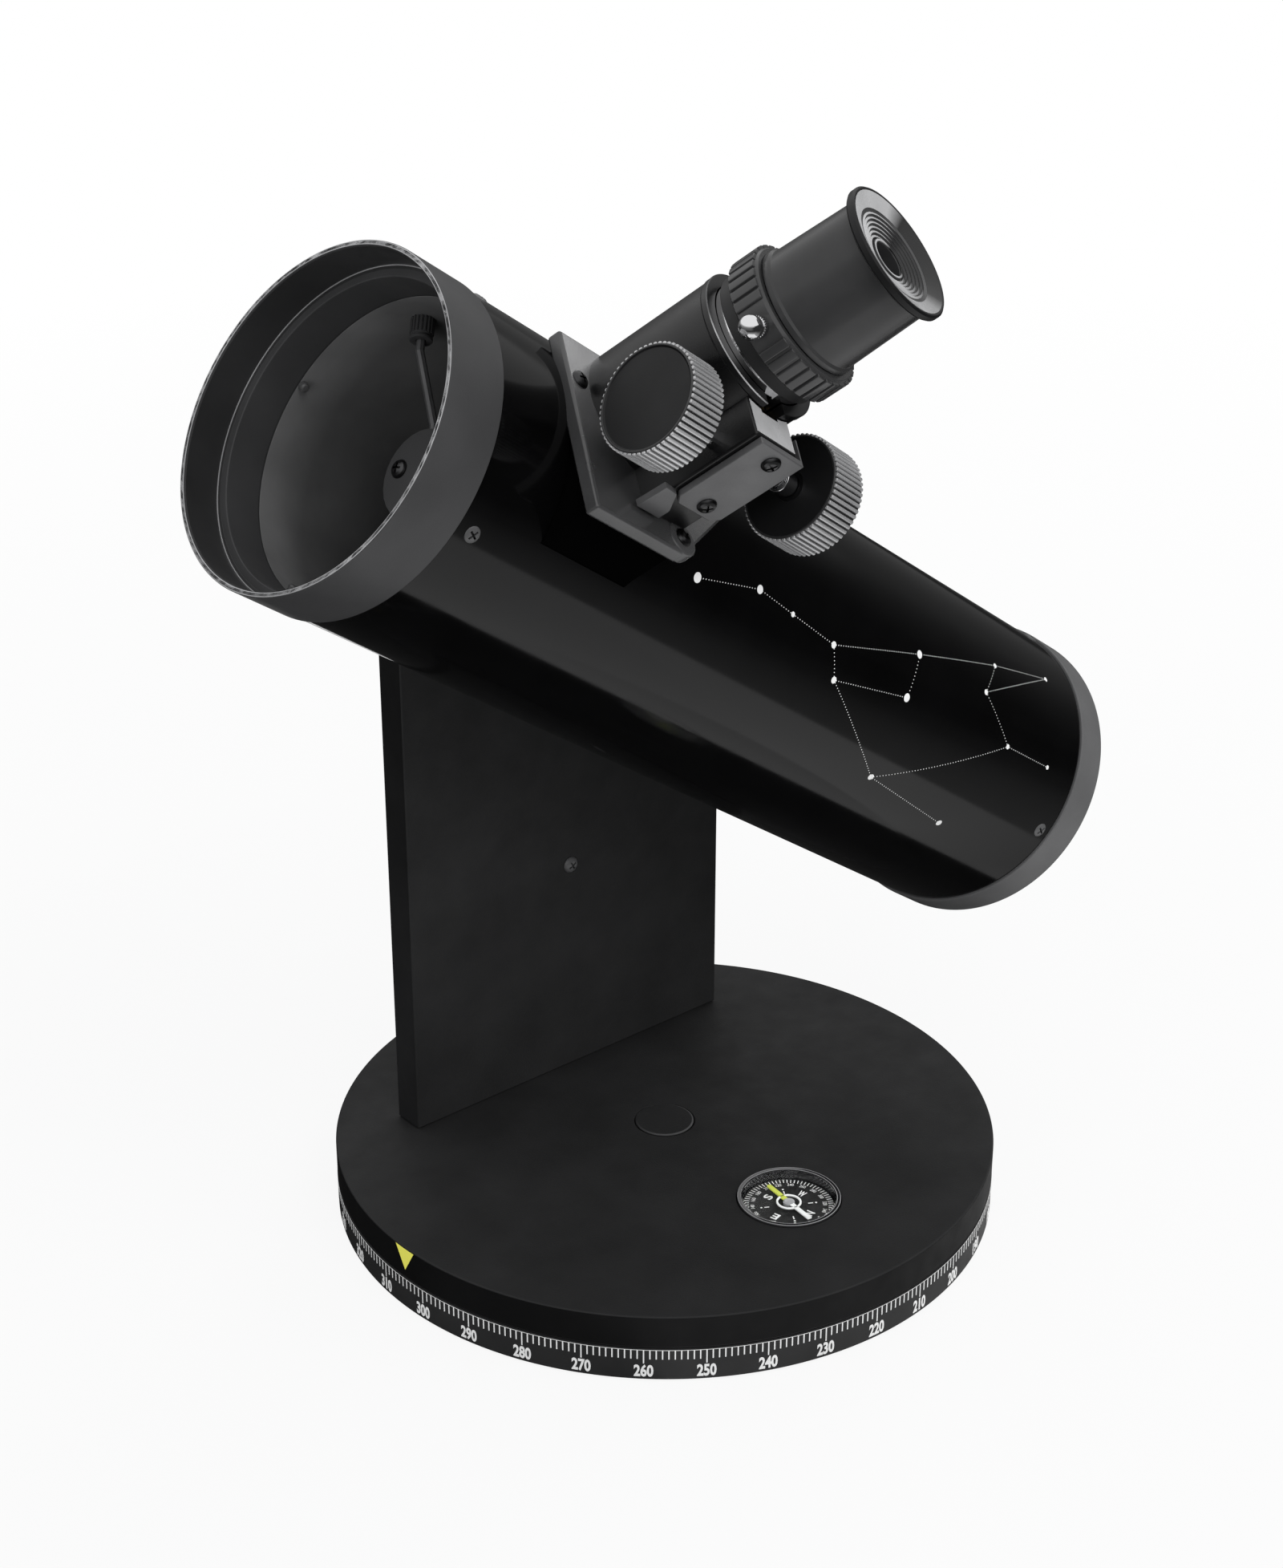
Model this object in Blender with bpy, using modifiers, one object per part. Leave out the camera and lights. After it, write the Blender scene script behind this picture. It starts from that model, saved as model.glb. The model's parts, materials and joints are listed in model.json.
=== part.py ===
"""Table-top newtonian reflector telescope on a round turntable base with one side arm.

Metres, +Z up.  The origin is the centre of the base's underside, on the turntable's axis.
The tube points its open end towards -X and up, and the arm stands on the +Y side.
"""
import math

import bmesh
import bpy
from mathutils import Matrix, Vector

MM = 0.001

# Fits
GAP = 0.3 * MM
HOLE_CLEARANCE = 0.3 * MM
CUT_MARGIN = 2.0 * MM

# Base and turntable
BASE_RADIUS = 110.0 * MM
GROUND_BOARD_THICKNESS = 11.4 * MM
TURNTABLE_THICKNESS = 11.4 * MM
AZIMUTH_SHANK_RADIUS = 4.0 * MM
AZIMUTH_HEAD_RADIUS = 6.5 * MM
AZIMUTH_HEAD_HEIGHT = 3.6 * MM
AZIMUTH_WASHER_RADIUS = 7.6 * MM
AZIMUTH_WASHER_THICKNESS = 1.0 * MM
INSERT_WALL = 1.6 * MM
INSERT_DEPTH = 8.4 * MM
PIVOT_CAP_RADIUS = 9.75 * MM
PIVOT_CAP_THICKNESS = 2.2 * MM
PIVOT_CAP_PROUD = 0.3 * MM

# Compass let into the turntable
COMPASS_INSET = 49.0 * MM
COMPASS_RADIUS = 16.75 * MM
COMPASS_WALL = 1.5 * MM
COMPASS_LEDGE = 0.7 * MM
COMPASS_FLOOR = 1.2 * MM
COMPASS_PROUD = 0.6 * MM
COMPASS_DIAL_THICKNESS = 0.6 * MM
COMPASS_PIN_RADIUS = 0.6 * MM
COMPASS_PIN_HEIGHT = 2.6 * MM
COMPASS_GLASS_THICKNESS = 1.0 * MM
NEEDLE_LENGTH = 22.0 * MM
NEEDLE_WIDTH = 3.2 * MM
NEEDLE_THICKNESS = 0.5 * MM
NEEDLE_HUB_RADIUS = 1.9 * MM
NEEDLE_HUB_HEIGHT = 1.2 * MM
NEEDLE_HEADROOM = 0.8 * MM
NEEDLE_BEARING = math.radians(83.0)

# Side arm
ARM_WIDTH = 133.0 * MM
ARM_THICKNESS = 11.4 * MM
ARM_ABOVE_PIVOT = 34.0 * MM
ARM_BOLT_INSET = 24.5 * MM
ARM_BOLT_RADIUS = 2.5 * MM
ARM_BOLT_HEAD_RADIUS = 4.8 * MM
ARM_BOLT_HEAD_HEIGHT = 3.0 * MM
ARM_BOLT_GRIP = 40.0 * MM
ARM_SCREW_HEIGHT = 100.7 * MM
ARM_SCREW_LENGTH = 9.0 * MM

# Altitude bearing
PIVOT_HEIGHT = 208.1 * MM
ALTITUDE = math.radians(34.4)
SADDLE_RADIUS = 22.0 * MM
SADDLE_WEB = 1.2 * MM
FRICTION_WASHER_RADIUS = 20.0 * MM
FRICTION_WASHER_THICKNESS = 0.8 * MM
ALTITUDE_SHANK_RADIUS = 4.0 * MM
ALTITUDE_HEAD_RADIUS = 7.0 * MM
ALTITUDE_HEAD_HEIGHT = 3.0 * MM
KNOB_WASHER_RADIUS = 11.0 * MM
KNOB_WASHER_THICKNESS = 1.2 * MM
ALTITUDE_KNOB_RADIUS = 19.0 * MM
ALTITUDE_KNOB_LENGTH = 17.0 * MM
ALTITUDE_KNOB_BORE_DEPTH = 12.0 * MM

# Tube, its end ring and its mirror cell
TUBE_OFFSET = -4.0 * MM
TUBE_RADIUS = 49.9 * MM
TUBE_WALL = 1.6 * MM
FRONT_REACH = 156.1 * MM
REAR_REACH = 170.9 * MM
FRONT_COLLAR_LENGTH = 20.1 * MM
REAR_COLLAR_LENGTH = 12.7 * MM
COLLAR_PROUD = 0.8 * MM
RIM_WALL = 1.6 * MM
RIM_DEPTH = 12.5 * MM
SLEEVE_WALL = 2.4 * MM
FRONT_SLEEVE_LENGTH = 9.5 * MM
REAR_SLEEVE_LENGTH = 11.0 * MM
CELL_FLOOR_THICKNESS = 4.0 * MM
CELL_BACK_WALL = 3.0 * MM
FRONT_SCREW_INSET = 6.2 * MM
REAR_SCREW_INSET = 5.1 * MM
TUBE_SCREW_COUNT = 4
TUBE_SCREW_FIRST_ANGLE = math.radians(102.0)
SCREW_HEAD_RADIUS = 2.8 * MM
SCREW_HEAD_HEIGHT = 1.5 * MM
SCREW_SHANK_RADIUS = 1.4 * MM
SCREW_CROWN_SHARE = 0.6
SCREW_CROWN_HEIGHT_SHARE = 0.86
SCREW_EDGE_SHARE = 0.3
SCREW_TIP_PROUD = 0.8 * MM

# Mirrors and the stalk that carries the small one
MIRROR_THICKNESS = 9.0 * MM
RETAINER_WALL = 7.0 * MM
RETAINER_LIP = 1.4 * MM
RETAINER_LIP_THICKNESS = 2.0 * MM
HOLDER_RADIUS = 13.5 * MM
HOLDER_REACH = 34.4 * MM
SECONDARY_THICKNESS = 3.0 * MM
COLLIMATION_COUNT = 3
COLLIMATION_FIRST_ANGLE = math.radians(-95.0)
COLLIMATION_CIRCLE = 8.4 * MM
COLLIMATION_SHANK_LENGTH = 8.0 * MM
STALK_ANGLE = math.radians(-28.5)
STALK_RADIUS = 1.25 * MM
STALK_INSET = 4.0 * MM
STALK_GRIP = 4.0 * MM
STALK_LEAN = 8.3 * MM
STALK_BEND = 3.0 * MM
STALK_BOSS_RADIUS = 3.5 * MM
STALK_BOSS_LENGTH = 9.0 * MM

# Focuser housing
FOCUSER_AXIS = -80.1 * MM
FOCUSER_ANGLE = math.radians(42.75)
PLATE_LENGTH = 60.0 * MM
PLATE_UPPER_SIDE = 18.5 * MM
PLATE_LOWER_SIDE = 41.5 * MM
PLATE_ABOVE_TUBE = 2.8 * MM
PLATE_THICKNESS = 4.6 * MM
PLATE_CORNER_CUT = 22.0 * MM
SADDLE_BLOCK_INSET = 2.5 * MM
SADDLE_BLOCK_DEPTH = 14.0 * MM
BARREL_RADIUS = 21.8 * MM
BARREL_LENGTH = 41.8 * MM
BARREL_RIM_PROUD = 0.8 * MM
BARREL_RIM_LENGTH = 2.4 * MM
FRONT_SADDLE_SCREW = (-25.5 * MM, -3.0 * MM)
SIDE_SADDLE_SCREW_ALONG = 7.0 * MM
REAR_SADDLE_SCREW = (25.5 * MM, -3.0 * MM)
SADDLE_SCREW_GRIP = 1.6 * MM

# Rack, pinion and knobs
PINION_BELOW_RIM = 15.5 * MM
PINION_TEETH = 12
PINION_PITCH_RADIUS = 5.0 * MM
TOOTH_ADDENDUM = 0.7 * MM
TOOTH_DEDENDUM = 1.0 * MM
TOOTH_BACKLASH = 0.45 * MM
TOOTH_SLOPE = math.tan(math.radians(20.0))
RACK_BACK = 1.8 * MM
RACK_WIDTH = 6.0 * MM
RACK_TEETH = 14
RACK_TEETH_BELOW = 10
GEAR_WIDTH = 7.0 * MM
PINION_SHAFT_RADIUS = 2.6 * MM
BLOCK_WIDTH = 17.5 * MM
BLOCK_BELOW_RIM = 2.5 * MM
COVER_THICKNESS = 2.0 * MM
COVER_LENGTH = 31.0 * MM
COVER_SCREW_SPACING = 22.0 * MM
COVER_SCREW_GRIP = 4.0 * MM
KNOB_RADIUS = 15.8 * MM
KNOB_LENGTH = 13.0 * MM
KNOB_CLEAR_OF_BARREL = 3.0 * MM
KNOB_DISH_RADIUS = 13.4 * MM
KNOB_DISH_DEPTH = 1.0 * MM
KNOB_BORE_DEPTH = 9.0 * MM

# Draw tube and eyepiece
BARREL_SIZE_RADIUS = 15.85 * MM
EYEPIECE_TUBE_WALL = 1.6 * MM
DRAW_TUBE_WALL = 2.2 * MM
DRAW_TUBE_BELOW_PLATE = 7.7 * MM
HOLDER_RING_ABOVE_BARREL = 1.5 * MM
HOLDER_RING_LENGTH = 14.5 * MM
HOLDER_RING_LIP = 2.5 * MM
HOLDER_RING_RADIUS = 21.7 * MM
HOLDER_COLLAR_RADIUS = 20.6 * MM
HOLDER_COLLAR_LENGTH = 5.2 * MM
LOCK_SCREW_BELOW_TOP = 5.2 * MM
LOCK_SCREW_ANGLE = math.radians(150.0)
LOCK_SHANK_RADIUS = 1.8 * MM
LOCK_HEAD_RADIUS = 3.1 * MM
LOCK_HEAD_LENGTH = 6.4 * MM
EYEPIECE_INSERTION = 24.0 * MM
EYEPIECE_LENGTH = 30.6 * MM
EYEPIECE_BASE_RADIUS = 18.2 * MM
EYEPIECE_NECK_RADIUS = 17.2 * MM
EYEPIECE_FLANGE_RADIUS = 18.8 * MM
EYEPIECE_FLANGE_THICKNESS = 2.6 * MM
EYEPIECE_SPIGOT = 5.2 * MM
EYE_DISH_RADIUS = 16.2 * MM
EYE_DISH_DEPTH = 3.6 * MM
EYE_HOLE_RADIUS = 5.4 * MM
EYE_LENS_RADIUS = 7.0 * MM
EYE_LENS_THICKNESS = 4.0 * MM
EYE_LENS_LIP = 1.2 * MM
FIELD_LENS_RADIUS = 12.7 * MM
FIELD_LENS_THICKNESS = 4.0 * MM
FIELD_STOP_RADIUS = 11.0 * MM
FIELD_STOP_THICKNESS = 2.0 * MM

# Facets round a full turn
BOARD_SEGMENTS = 64
TUBE_SEGMENTS = 40
BARREL_SEGMENTS = 32
KNOB_SEGMENTS = 28
SMALL_SEGMENTS = 16
SCREW_SEGMENTS = 8

# Places worked out from the sizes above
TURNTABLE_BOTTOM = GROUND_BOARD_THICKNESS + GAP
TURNTABLE_TOP = TURNTABLE_BOTTOM + TURNTABLE_THICKNESS
COMPASS_OFFSET = BASE_RADIUS - COMPASS_INSET
TUBE_INNER_RADIUS = TUBE_RADIUS - TUBE_WALL
COLLAR_RADIUS = TUBE_RADIUS + COLLAR_PROUD
SLEEVE_RADIUS = TUBE_INNER_RADIUS - GAP
SLEEVE_INNER_RADIUS = SLEEVE_RADIUS - SLEEVE_WALL
MIRROR_RADIUS = SLEEVE_INNER_RADIUS - GAP - RETAINER_WALL - GAP
FRONT_COLLAR_BACK = FRONT_COLLAR_LENGTH - FRONT_REACH
REAR_COLLAR_FRONT = REAR_REACH - REAR_COLLAR_LENGTH
WASHER_FACE = TUBE_RADIUS + GAP + SADDLE_WEB + GAP
ARM_FACE = WASHER_FACE + FRICTION_WASHER_THICKNESS + GAP
ARM_BACK = ARM_FACE + ARM_THICKNESS
KNOB_FACE = ARM_BACK + GAP + KNOB_WASHER_THICKNESS + GAP
ARM_BOTTOM = TURNTABLE_TOP + GAP
ARM_BOLT_SPACING = ARM_WIDTH - 2.0 * ARM_BOLT_INSET
ARM_TOP = PIVOT_HEIGHT + ARM_ABOVE_PIVOT
PLATE_TOP = TUBE_RADIUS + PLATE_ABOVE_TUBE
BARREL_HEIGHT = PLATE_TOP + BARREL_LENGTH
PINION_HEIGHT = BARREL_HEIGHT - PINION_BELOW_RIM
DRAW_TUBE_BOTTOM = PLATE_TOP - DRAW_TUBE_BELOW_PLATE
HOLDER_RING_BOTTOM = BARREL_HEIGHT + HOLDER_RING_ABOVE_BARREL
HOLDER_RING_TOP = HOLDER_RING_BOTTOM + HOLDER_RING_LENGTH
DRAW_TUBE_TOP = HOLDER_RING_TOP - HOLDER_RING_LIP
LOCK_SCREW_HEIGHT = HOLDER_RING_TOP - LOCK_SCREW_BELOW_TOP
DRAW_TUBE_INNER_RADIUS = BARREL_SIZE_RADIUS + HOLE_CLEARANCE
DRAW_TUBE_RADIUS = DRAW_TUBE_INNER_RADIUS + DRAW_TUBE_WALL
BARREL_BORE = DRAW_TUBE_RADIUS + HOLE_CLEARANCE
RACK_INNER = DRAW_TUBE_RADIUS + GAP
RACK_ROOT = RACK_INNER + RACK_BACK
RACK_PITCH_LINE = RACK_ROOT + TOOTH_DEDENDUM
RACK_TIP = RACK_PITCH_LINE + TOOTH_ADDENDUM
PINION_OFFSET = RACK_PITCH_LINE + PINION_PITCH_RADIUS
PINION_TIP_RADIUS = PINION_PITCH_RADIUS + TOOTH_ADDENDUM
PINION_CAVITY_RADIUS = PINION_TIP_RADIUS + 2.0 * GAP
BLOCK_SIDE = PINION_OFFSET + PINION_TIP_RADIUS + GAP
BLOCK_TOP = BARREL_HEIGHT - BLOCK_BELOW_RIM
SIDE_SADDLE_SCREW = (SIDE_SADDLE_SCREW_ALONG, BLOCK_SIDE + SCREW_HEAD_RADIUS + 2.0 * GAP)
COVER_TOP = BLOCK_TOP
KNOB_INNER_FACE = BARREL_RADIUS + KNOB_CLEAR_OF_BARREL
TOOTH_PITCH = 2.0 * math.pi * PINION_PITCH_RADIUS / PINION_TEETH
EYEPIECE_BOTTOM = HOLDER_RING_TOP + GAP
EYEPIECE_TOP = EYEPIECE_BOTTOM + EYEPIECE_LENGTH
SIDEWAYS = (-math.pi / 2.0, 0.0, 0.0)
ALONG_TUBE = (0.0, math.pi / 2.0, 0.0)
TOOTH_PLANE = Matrix(((0, 0, 1), (0, -1, 0), (1, 0, 0))).to_euler()


def clear_scene():
    for old in list(bpy.data.objects):
        bpy.data.objects.remove(old, do_unlink=True)


def new_collection(name):
    collection = bpy.data.collections.new(name)
    bpy.context.scene.collection.children.link(collection)
    return collection


def new_material(name, colour, roughness, metallic=0.0):
    material = bpy.data.materials.new(name)
    material.use_nodes = True
    shader = material.node_tree.nodes["Principled BSDF"]
    shader.inputs["Base Color"].default_value = (*colour, 1.0)
    shader.inputs["Roughness"].default_value = roughness
    shader.inputs["Metallic"].default_value = metallic
    return material


clear_scene()
PARTS = new_collection("newtonian_reflector_telescope")
CUTTERS = new_collection("cutters")

BLACK_BOARD = new_material("black_board", (0.020, 0.020, 0.021), 0.62)
GLOSS_BLACK = new_material("gloss_black_paint", (0.006, 0.006, 0.007), 0.16)
DARK_PLASTIC = new_material("dark_grey_plastic", (0.045, 0.045, 0.047), 0.42)
BLACK_PLASTIC = new_material("black_plastic", (0.014, 0.014, 0.015), 0.34)
CASTING = new_material("satin_casting", (0.060, 0.060, 0.062), 0.38, 0.3)
CHROME = new_material("chrome", (0.78, 0.78, 0.79), 0.10, 1.0)
DARK_STEEL = new_material("dark_steel", (0.22, 0.22, 0.23), 0.30, 1.0)
BRASS = new_material("brass", (0.62, 0.46, 0.20), 0.30, 1.0)
NYLON = new_material("white_nylon", (0.72, 0.72, 0.70), 0.45)
MIRROR = new_material("mirror_coating", (0.90, 0.91, 0.92), 0.02, 1.0)
GLASS = new_material("clear_glass", (0.85, 0.88, 0.88), 0.03)
DIAL_BLACK = new_material("compass_dial", (0.012, 0.012, 0.012), 0.50)
NEEDLE_PAINT = new_material("needle_paint", (0.62, 0.66, 0.12), 0.40)


def frame(name, parent=None, location=(0.0, 0.0, 0.0), rotation=(0.0, 0.0, 0.0)):
    empty = bpy.data.objects.new(name, None)
    PARTS.objects.link(empty)
    empty.empty_display_size = 10.0 * MM
    empty.parent = parent
    empty.location = location
    empty.rotation_euler = rotation
    return empty


def add_object(name, mesh, material, parent, location, rotation):
    """A part when it has a material, and a cutter when it has none."""
    item = bpy.data.objects.new(name, mesh)
    item.parent = parent
    item.location = location
    item.rotation_euler = rotation
    if material is None:
        CUTTERS.objects.link(item)
        item.hide_render = True
        item.display_type = 'WIRE'
    else:
        PARTS.objects.link(item)
        mesh.materials.append(material)
        mesh.shade_smooth()
        mesh.set_sharp_from_angle(angle=math.radians(35.0))
    return item


def turned(name, profile, material, parent, location=(0.0, 0.0, 0.0), rotation=(0.0, 0.0, 0.0),
           segments=SMALL_SEGMENTS, ring=False):
    """A profile of (radius, height) points, from the top down its outer side, spun about local Z."""
    mesh = bpy.data.meshes.new(name)
    count = len(profile)
    edges = [(i, i + 1) for i in range(count - 1)]
    if ring:
        edges.append((count - 1, 0))
    mesh.from_pydata([(radius, 0.0, height) for radius, height in profile], edges, [])
    item = add_object(name, mesh, material, parent, location, rotation)
    spin = item.modifiers.new("spin", 'SCREW')
    spin.axis = 'Z'
    spin.angle = 2.0 * math.pi
    spin.steps = segments
    spin.render_steps = segments
    spin.use_merge_vertices = True
    spin.merge_threshold = 0.000001
    spin.use_smooth_shade = True
    return item


def rod(name, radius, bottom, top, material, parent, location=(0.0, 0.0, 0.0), rotation=(0.0, 0.0, 0.0),
        segments=SMALL_SEGMENTS):
    """A plain cylinder between two heights on local Z."""
    mesh = bpy.data.meshes.new(name)
    shape = bmesh.new()
    middle = Matrix.Translation((0.0, 0.0, (bottom + top) / 2.0))
    bmesh.ops.create_cone(shape, cap_ends=True, segments=segments, radius1=radius, radius2=radius,
                          depth=top - bottom, matrix=middle)
    shape.to_mesh(mesh)
    shape.free()
    return add_object(name, mesh, material, parent, location, rotation)


def box(name, low, high, material, parent, location=(0.0, 0.0, 0.0), rotation=(0.0, 0.0, 0.0)):
    """A box between two opposite corners."""
    mesh = bpy.data.meshes.new(name)
    shape = bmesh.new()
    low = Vector(low)
    high = Vector(high)
    size = Matrix.Diagonal((*(high - low), 1.0))
    bmesh.ops.create_cube(shape, size=1.0, matrix=Matrix.Translation((low + high) / 2.0) @ size)
    shape.to_mesh(mesh)
    shape.free()
    return add_object(name, mesh, material, parent, location, rotation)


def welded_mesh(name, curve):
    """The mesh of a curve, with its loose caps joined on; the curve itself is removed."""
    drawn = bpy.data.objects.new(name + "_outline", curve)
    PARTS.objects.link(drawn)
    graph = bpy.context.evaluated_depsgraph_get()
    mesh = bpy.data.meshes.new_from_object(drawn.evaluated_get(graph))
    mesh.name = name
    bpy.data.objects.remove(drawn, do_unlink=True)
    shape = bmesh.new()
    shape.from_mesh(mesh)
    bmesh.ops.remove_doubles(shape, verts=shape.verts, dist=0.000001)
    bmesh.ops.recalc_face_normals(shape, faces=shape.faces)
    shape.to_mesh(mesh)
    shape.free()
    return mesh


def outline(name, points, thickness, material, parent, location=(0.0, 0.0, 0.0),
            rotation=(0.0, 0.0, 0.0)):
    """A flat outline in local X and Y, as thick as asked about its middle plane."""
    curve = bpy.data.curves.new(name, 'CURVE')
    curve.dimensions = '2D'
    curve.fill_mode = 'BOTH'
    curve.extrude = thickness / 2.0
    spline = curve.splines.new('POLY')
    spline.points.add(len(points) - 1)
    for point, (x, y) in zip(spline.points, points):
        point.co = (x, y, 0.0, 1.0)
    spline.use_cyclic_u = True
    mesh = welded_mesh(name, curve)
    return add_object(name, mesh, material, parent, location, rotation)


def bent_rod(name, points, radius, material, parent):
    """A round rod through the points given."""
    curve = bpy.data.curves.new(name, 'CURVE')
    curve.dimensions = '3D'
    curve.bevel_depth = radius
    curve.bevel_resolution = 2
    curve.use_fill_caps = True
    spline = curve.splines.new('POLY')
    spline.points.add(len(points) - 1)
    for point, place in zip(spline.points, points):
        point.co = (*place, 1.0)
    mesh = welded_mesh(name, curve)
    return add_object(name, mesh, material, parent, (0.0, 0.0, 0.0), (0.0, 0.0, 0.0))


def combine(item, other, operation):
    step = item.modifiers.new(other.name, 'BOOLEAN')
    step.operation = operation
    step.object = other


def cut(item, *cutters):
    for cutter in cutters:
        combine(item, cutter, 'DIFFERENCE')


def unite(item, *others):
    for other in others:
        combine(item, other, 'UNION')


def screw(name, shank_length, material, parent, location, rotation=(0.0, 0.0, 0.0),
          head_radius=SCREW_HEAD_RADIUS, head_height=SCREW_HEAD_HEIGHT, shank_radius=SCREW_SHANK_RADIUS):
    """A domed screw whose head rests on local Z = 0 and whose shank points down."""
    profile = [
        (0.0, head_height),
        (head_radius * SCREW_CROWN_SHARE, head_height * SCREW_CROWN_HEIGHT_SHARE),
        (head_radius, head_height * SCREW_EDGE_SHARE),
        (head_radius, 0.0),
        (shank_radius, 0.0),
        (shank_radius, -shank_length),
        (0.0, -shank_length),
    ]
    return turned(name, profile, material, parent, location, rotation, SCREW_SEGMENTS)


def around_tube(angle, radius, along=0.0):
    """A place on the tube: the angle is measured from its top towards the focuser's side."""
    return Vector((along, -radius * math.sin(angle), radius * math.cos(angle)))


def build_base(ground, turntable):
    insert_radius = AZIMUTH_SHANK_RADIUS + HOLE_CLEARANCE + INSERT_WALL
    insert_top = GROUND_BOARD_THICKNESS - GAP
    insert_bottom = insert_top - INSERT_DEPTH
    ground_board = rod("ground_board", BASE_RADIUS, 0.0, GROUND_BOARD_THICKNESS, BLACK_BOARD, ground,
                       segments=BOARD_SEGMENTS)
    insert_hole = rod("insert_hole", insert_radius + GAP, insert_bottom - GAP,
                      GROUND_BOARD_THICKNESS + CUT_MARGIN, None, ground)
    cut(ground_board, insert_hole)
    insert_bore = AZIMUTH_SHANK_RADIUS + HOLE_CLEARANCE
    turned("azimuth_insert", [
        (insert_bore, insert_top),
        (insert_radius, insert_top),
        (insert_radius, insert_bottom),
        (insert_bore, insert_bottom),
    ], BRASS, ground, ring=True)

    cap_top = TURNTABLE_TOP + PIVOT_CAP_PROUD
    cap_bottom = cap_top - PIVOT_CAP_THICKNESS
    head_top = cap_bottom - 2.0 * GAP
    head_bottom = head_top - AZIMUTH_HEAD_HEIGHT
    washer_top = head_bottom - GAP
    washer_bottom = washer_top - AZIMUTH_WASHER_THICKNESS
    turned("azimuth_bolt", [
        (0.0, head_top),
        (AZIMUTH_HEAD_RADIUS, head_top),
        (AZIMUTH_HEAD_RADIUS, head_bottom),
        (AZIMUTH_SHANK_RADIUS, head_bottom),
        (AZIMUTH_SHANK_RADIUS, insert_bottom + GAP),
        (0.0, insert_bottom + GAP),
    ], DARK_STEEL, ground)

    board = rod("turntable_board", BASE_RADIUS, TURNTABLE_BOTTOM, TURNTABLE_TOP, BLACK_BOARD, turntable,
                segments=BOARD_SEGMENTS)
    above = TURNTABLE_TOP + CUT_MARGIN
    below = TURNTABLE_BOTTOM - CUT_MARGIN
    cap_seat = rod("cap_seat", PIVOT_CAP_RADIUS + GAP, cap_bottom - GAP, above, None, turntable)
    head_pocket = rod("head_pocket", AZIMUTH_WASHER_RADIUS + GAP, washer_bottom - GAP, above, None, turntable)
    shank_hole = rod("azimuth_hole", insert_bore, below, above, None, turntable)
    cut(board, cap_seat, head_pocket, shank_hole)
    turned("azimuth_washer", [
        (insert_bore, washer_top),
        (AZIMUTH_WASHER_RADIUS, washer_top),
        (AZIMUTH_WASHER_RADIUS, washer_bottom),
        (insert_bore, washer_bottom),
    ], NYLON, turntable, ring=True)
    turned("pivot_cap", [
        (0.0, cap_top),
        (PIVOT_CAP_RADIUS, cap_top),
        (PIVOT_CAP_RADIUS, cap_bottom),
        (0.0, cap_bottom),
    ], BLACK_PLASTIC, turntable, segments=KNOB_SEGMENTS)
    return board


def build_compass(turntable, board):
    centre = frame("compass_axis", turntable, (0.0, -COMPASS_OFFSET, TURNTABLE_TOP))
    rim_top = COMPASS_PROUD
    glass_bottom = rim_top - COMPASS_GLASS_THICKNESS
    ledge = glass_bottom - GAP
    needle_top = ledge - NEEDLE_HEADROOM
    hub_bottom = needle_top - NEEDLE_HUB_HEIGHT
    pin_top = hub_bottom + NEEDLE_HUB_HEIGHT - NEEDLE_THICKNESS - GAP
    floor_top = pin_top - COMPASS_PIN_HEIGHT
    floor_bottom = floor_top - COMPASS_FLOOR
    bore = COMPASS_RADIUS - COMPASS_WALL
    lower_bore = bore - COMPASS_LEDGE
    turned("compass_housing", [
        (0.0, pin_top),
        (COMPASS_PIN_RADIUS, pin_top - COMPASS_PIN_RADIUS),
        (COMPASS_PIN_RADIUS, floor_top),
        (lower_bore, floor_top),
        (lower_bore, ledge),
        (bore, ledge),
        (bore, rim_top),
        (COMPASS_RADIUS, rim_top),
        (COMPASS_RADIUS, floor_bottom),
        (0.0, floor_bottom),
    ], BLACK_PLASTIC, centre, segments=BARREL_SEGMENTS)
    dial_bottom = floor_top + GAP
    turned("compass_dial", [
        (COMPASS_PIN_RADIUS + HOLE_CLEARANCE, dial_bottom + COMPASS_DIAL_THICKNESS),
        (lower_bore - GAP, dial_bottom + COMPASS_DIAL_THICKNESS),
        (lower_bore - GAP, dial_bottom),
        (COMPASS_PIN_RADIUS + HOLE_CLEARANCE, dial_bottom),
    ], DIAL_BLACK, centre, segments=BARREL_SEGMENTS, ring=True)
    turned("compass_glass", [
        (0.0, rim_top),
        (bore - GAP, rim_top),
        (bore - GAP, glass_bottom),
        (0.0, glass_bottom),
    ], GLASS, centre, segments=BARREL_SEGMENTS)
    reach = NEEDLE_LENGTH / 2.0
    half_width = NEEDLE_WIDTH / 2.0
    blade = outline("compass_needle", [(-reach, 0.0), (0.0, -half_width), (reach, 0.0), (0.0, half_width)],
                    NEEDLE_THICKNESS, NEEDLE_PAINT, centre,
                    (0.0, 0.0, needle_top - NEEDLE_THICKNESS / 2.0), (0.0, 0.0, NEEDLE_BEARING))
    hub = rod("needle_hub", NEEDLE_HUB_RADIUS, hub_bottom, needle_top - NEEDLE_THICKNESS / 4.0, None, centre)
    unite(blade, hub)
    cup = rod("needle_cup", COMPASS_PIN_RADIUS + HOLE_CLEARANCE, hub_bottom - CUT_MARGIN, pin_top + GAP,
              None, centre, segments=SCREW_SEGMENTS)
    cut(blade, cup)
    pocket = rod("compass_pocket", COMPASS_RADIUS + GAP, floor_bottom - GAP, rim_top + CUT_MARGIN, None,
                 centre, segments=BARREL_SEGMENTS)
    cut(board, pocket)


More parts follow.
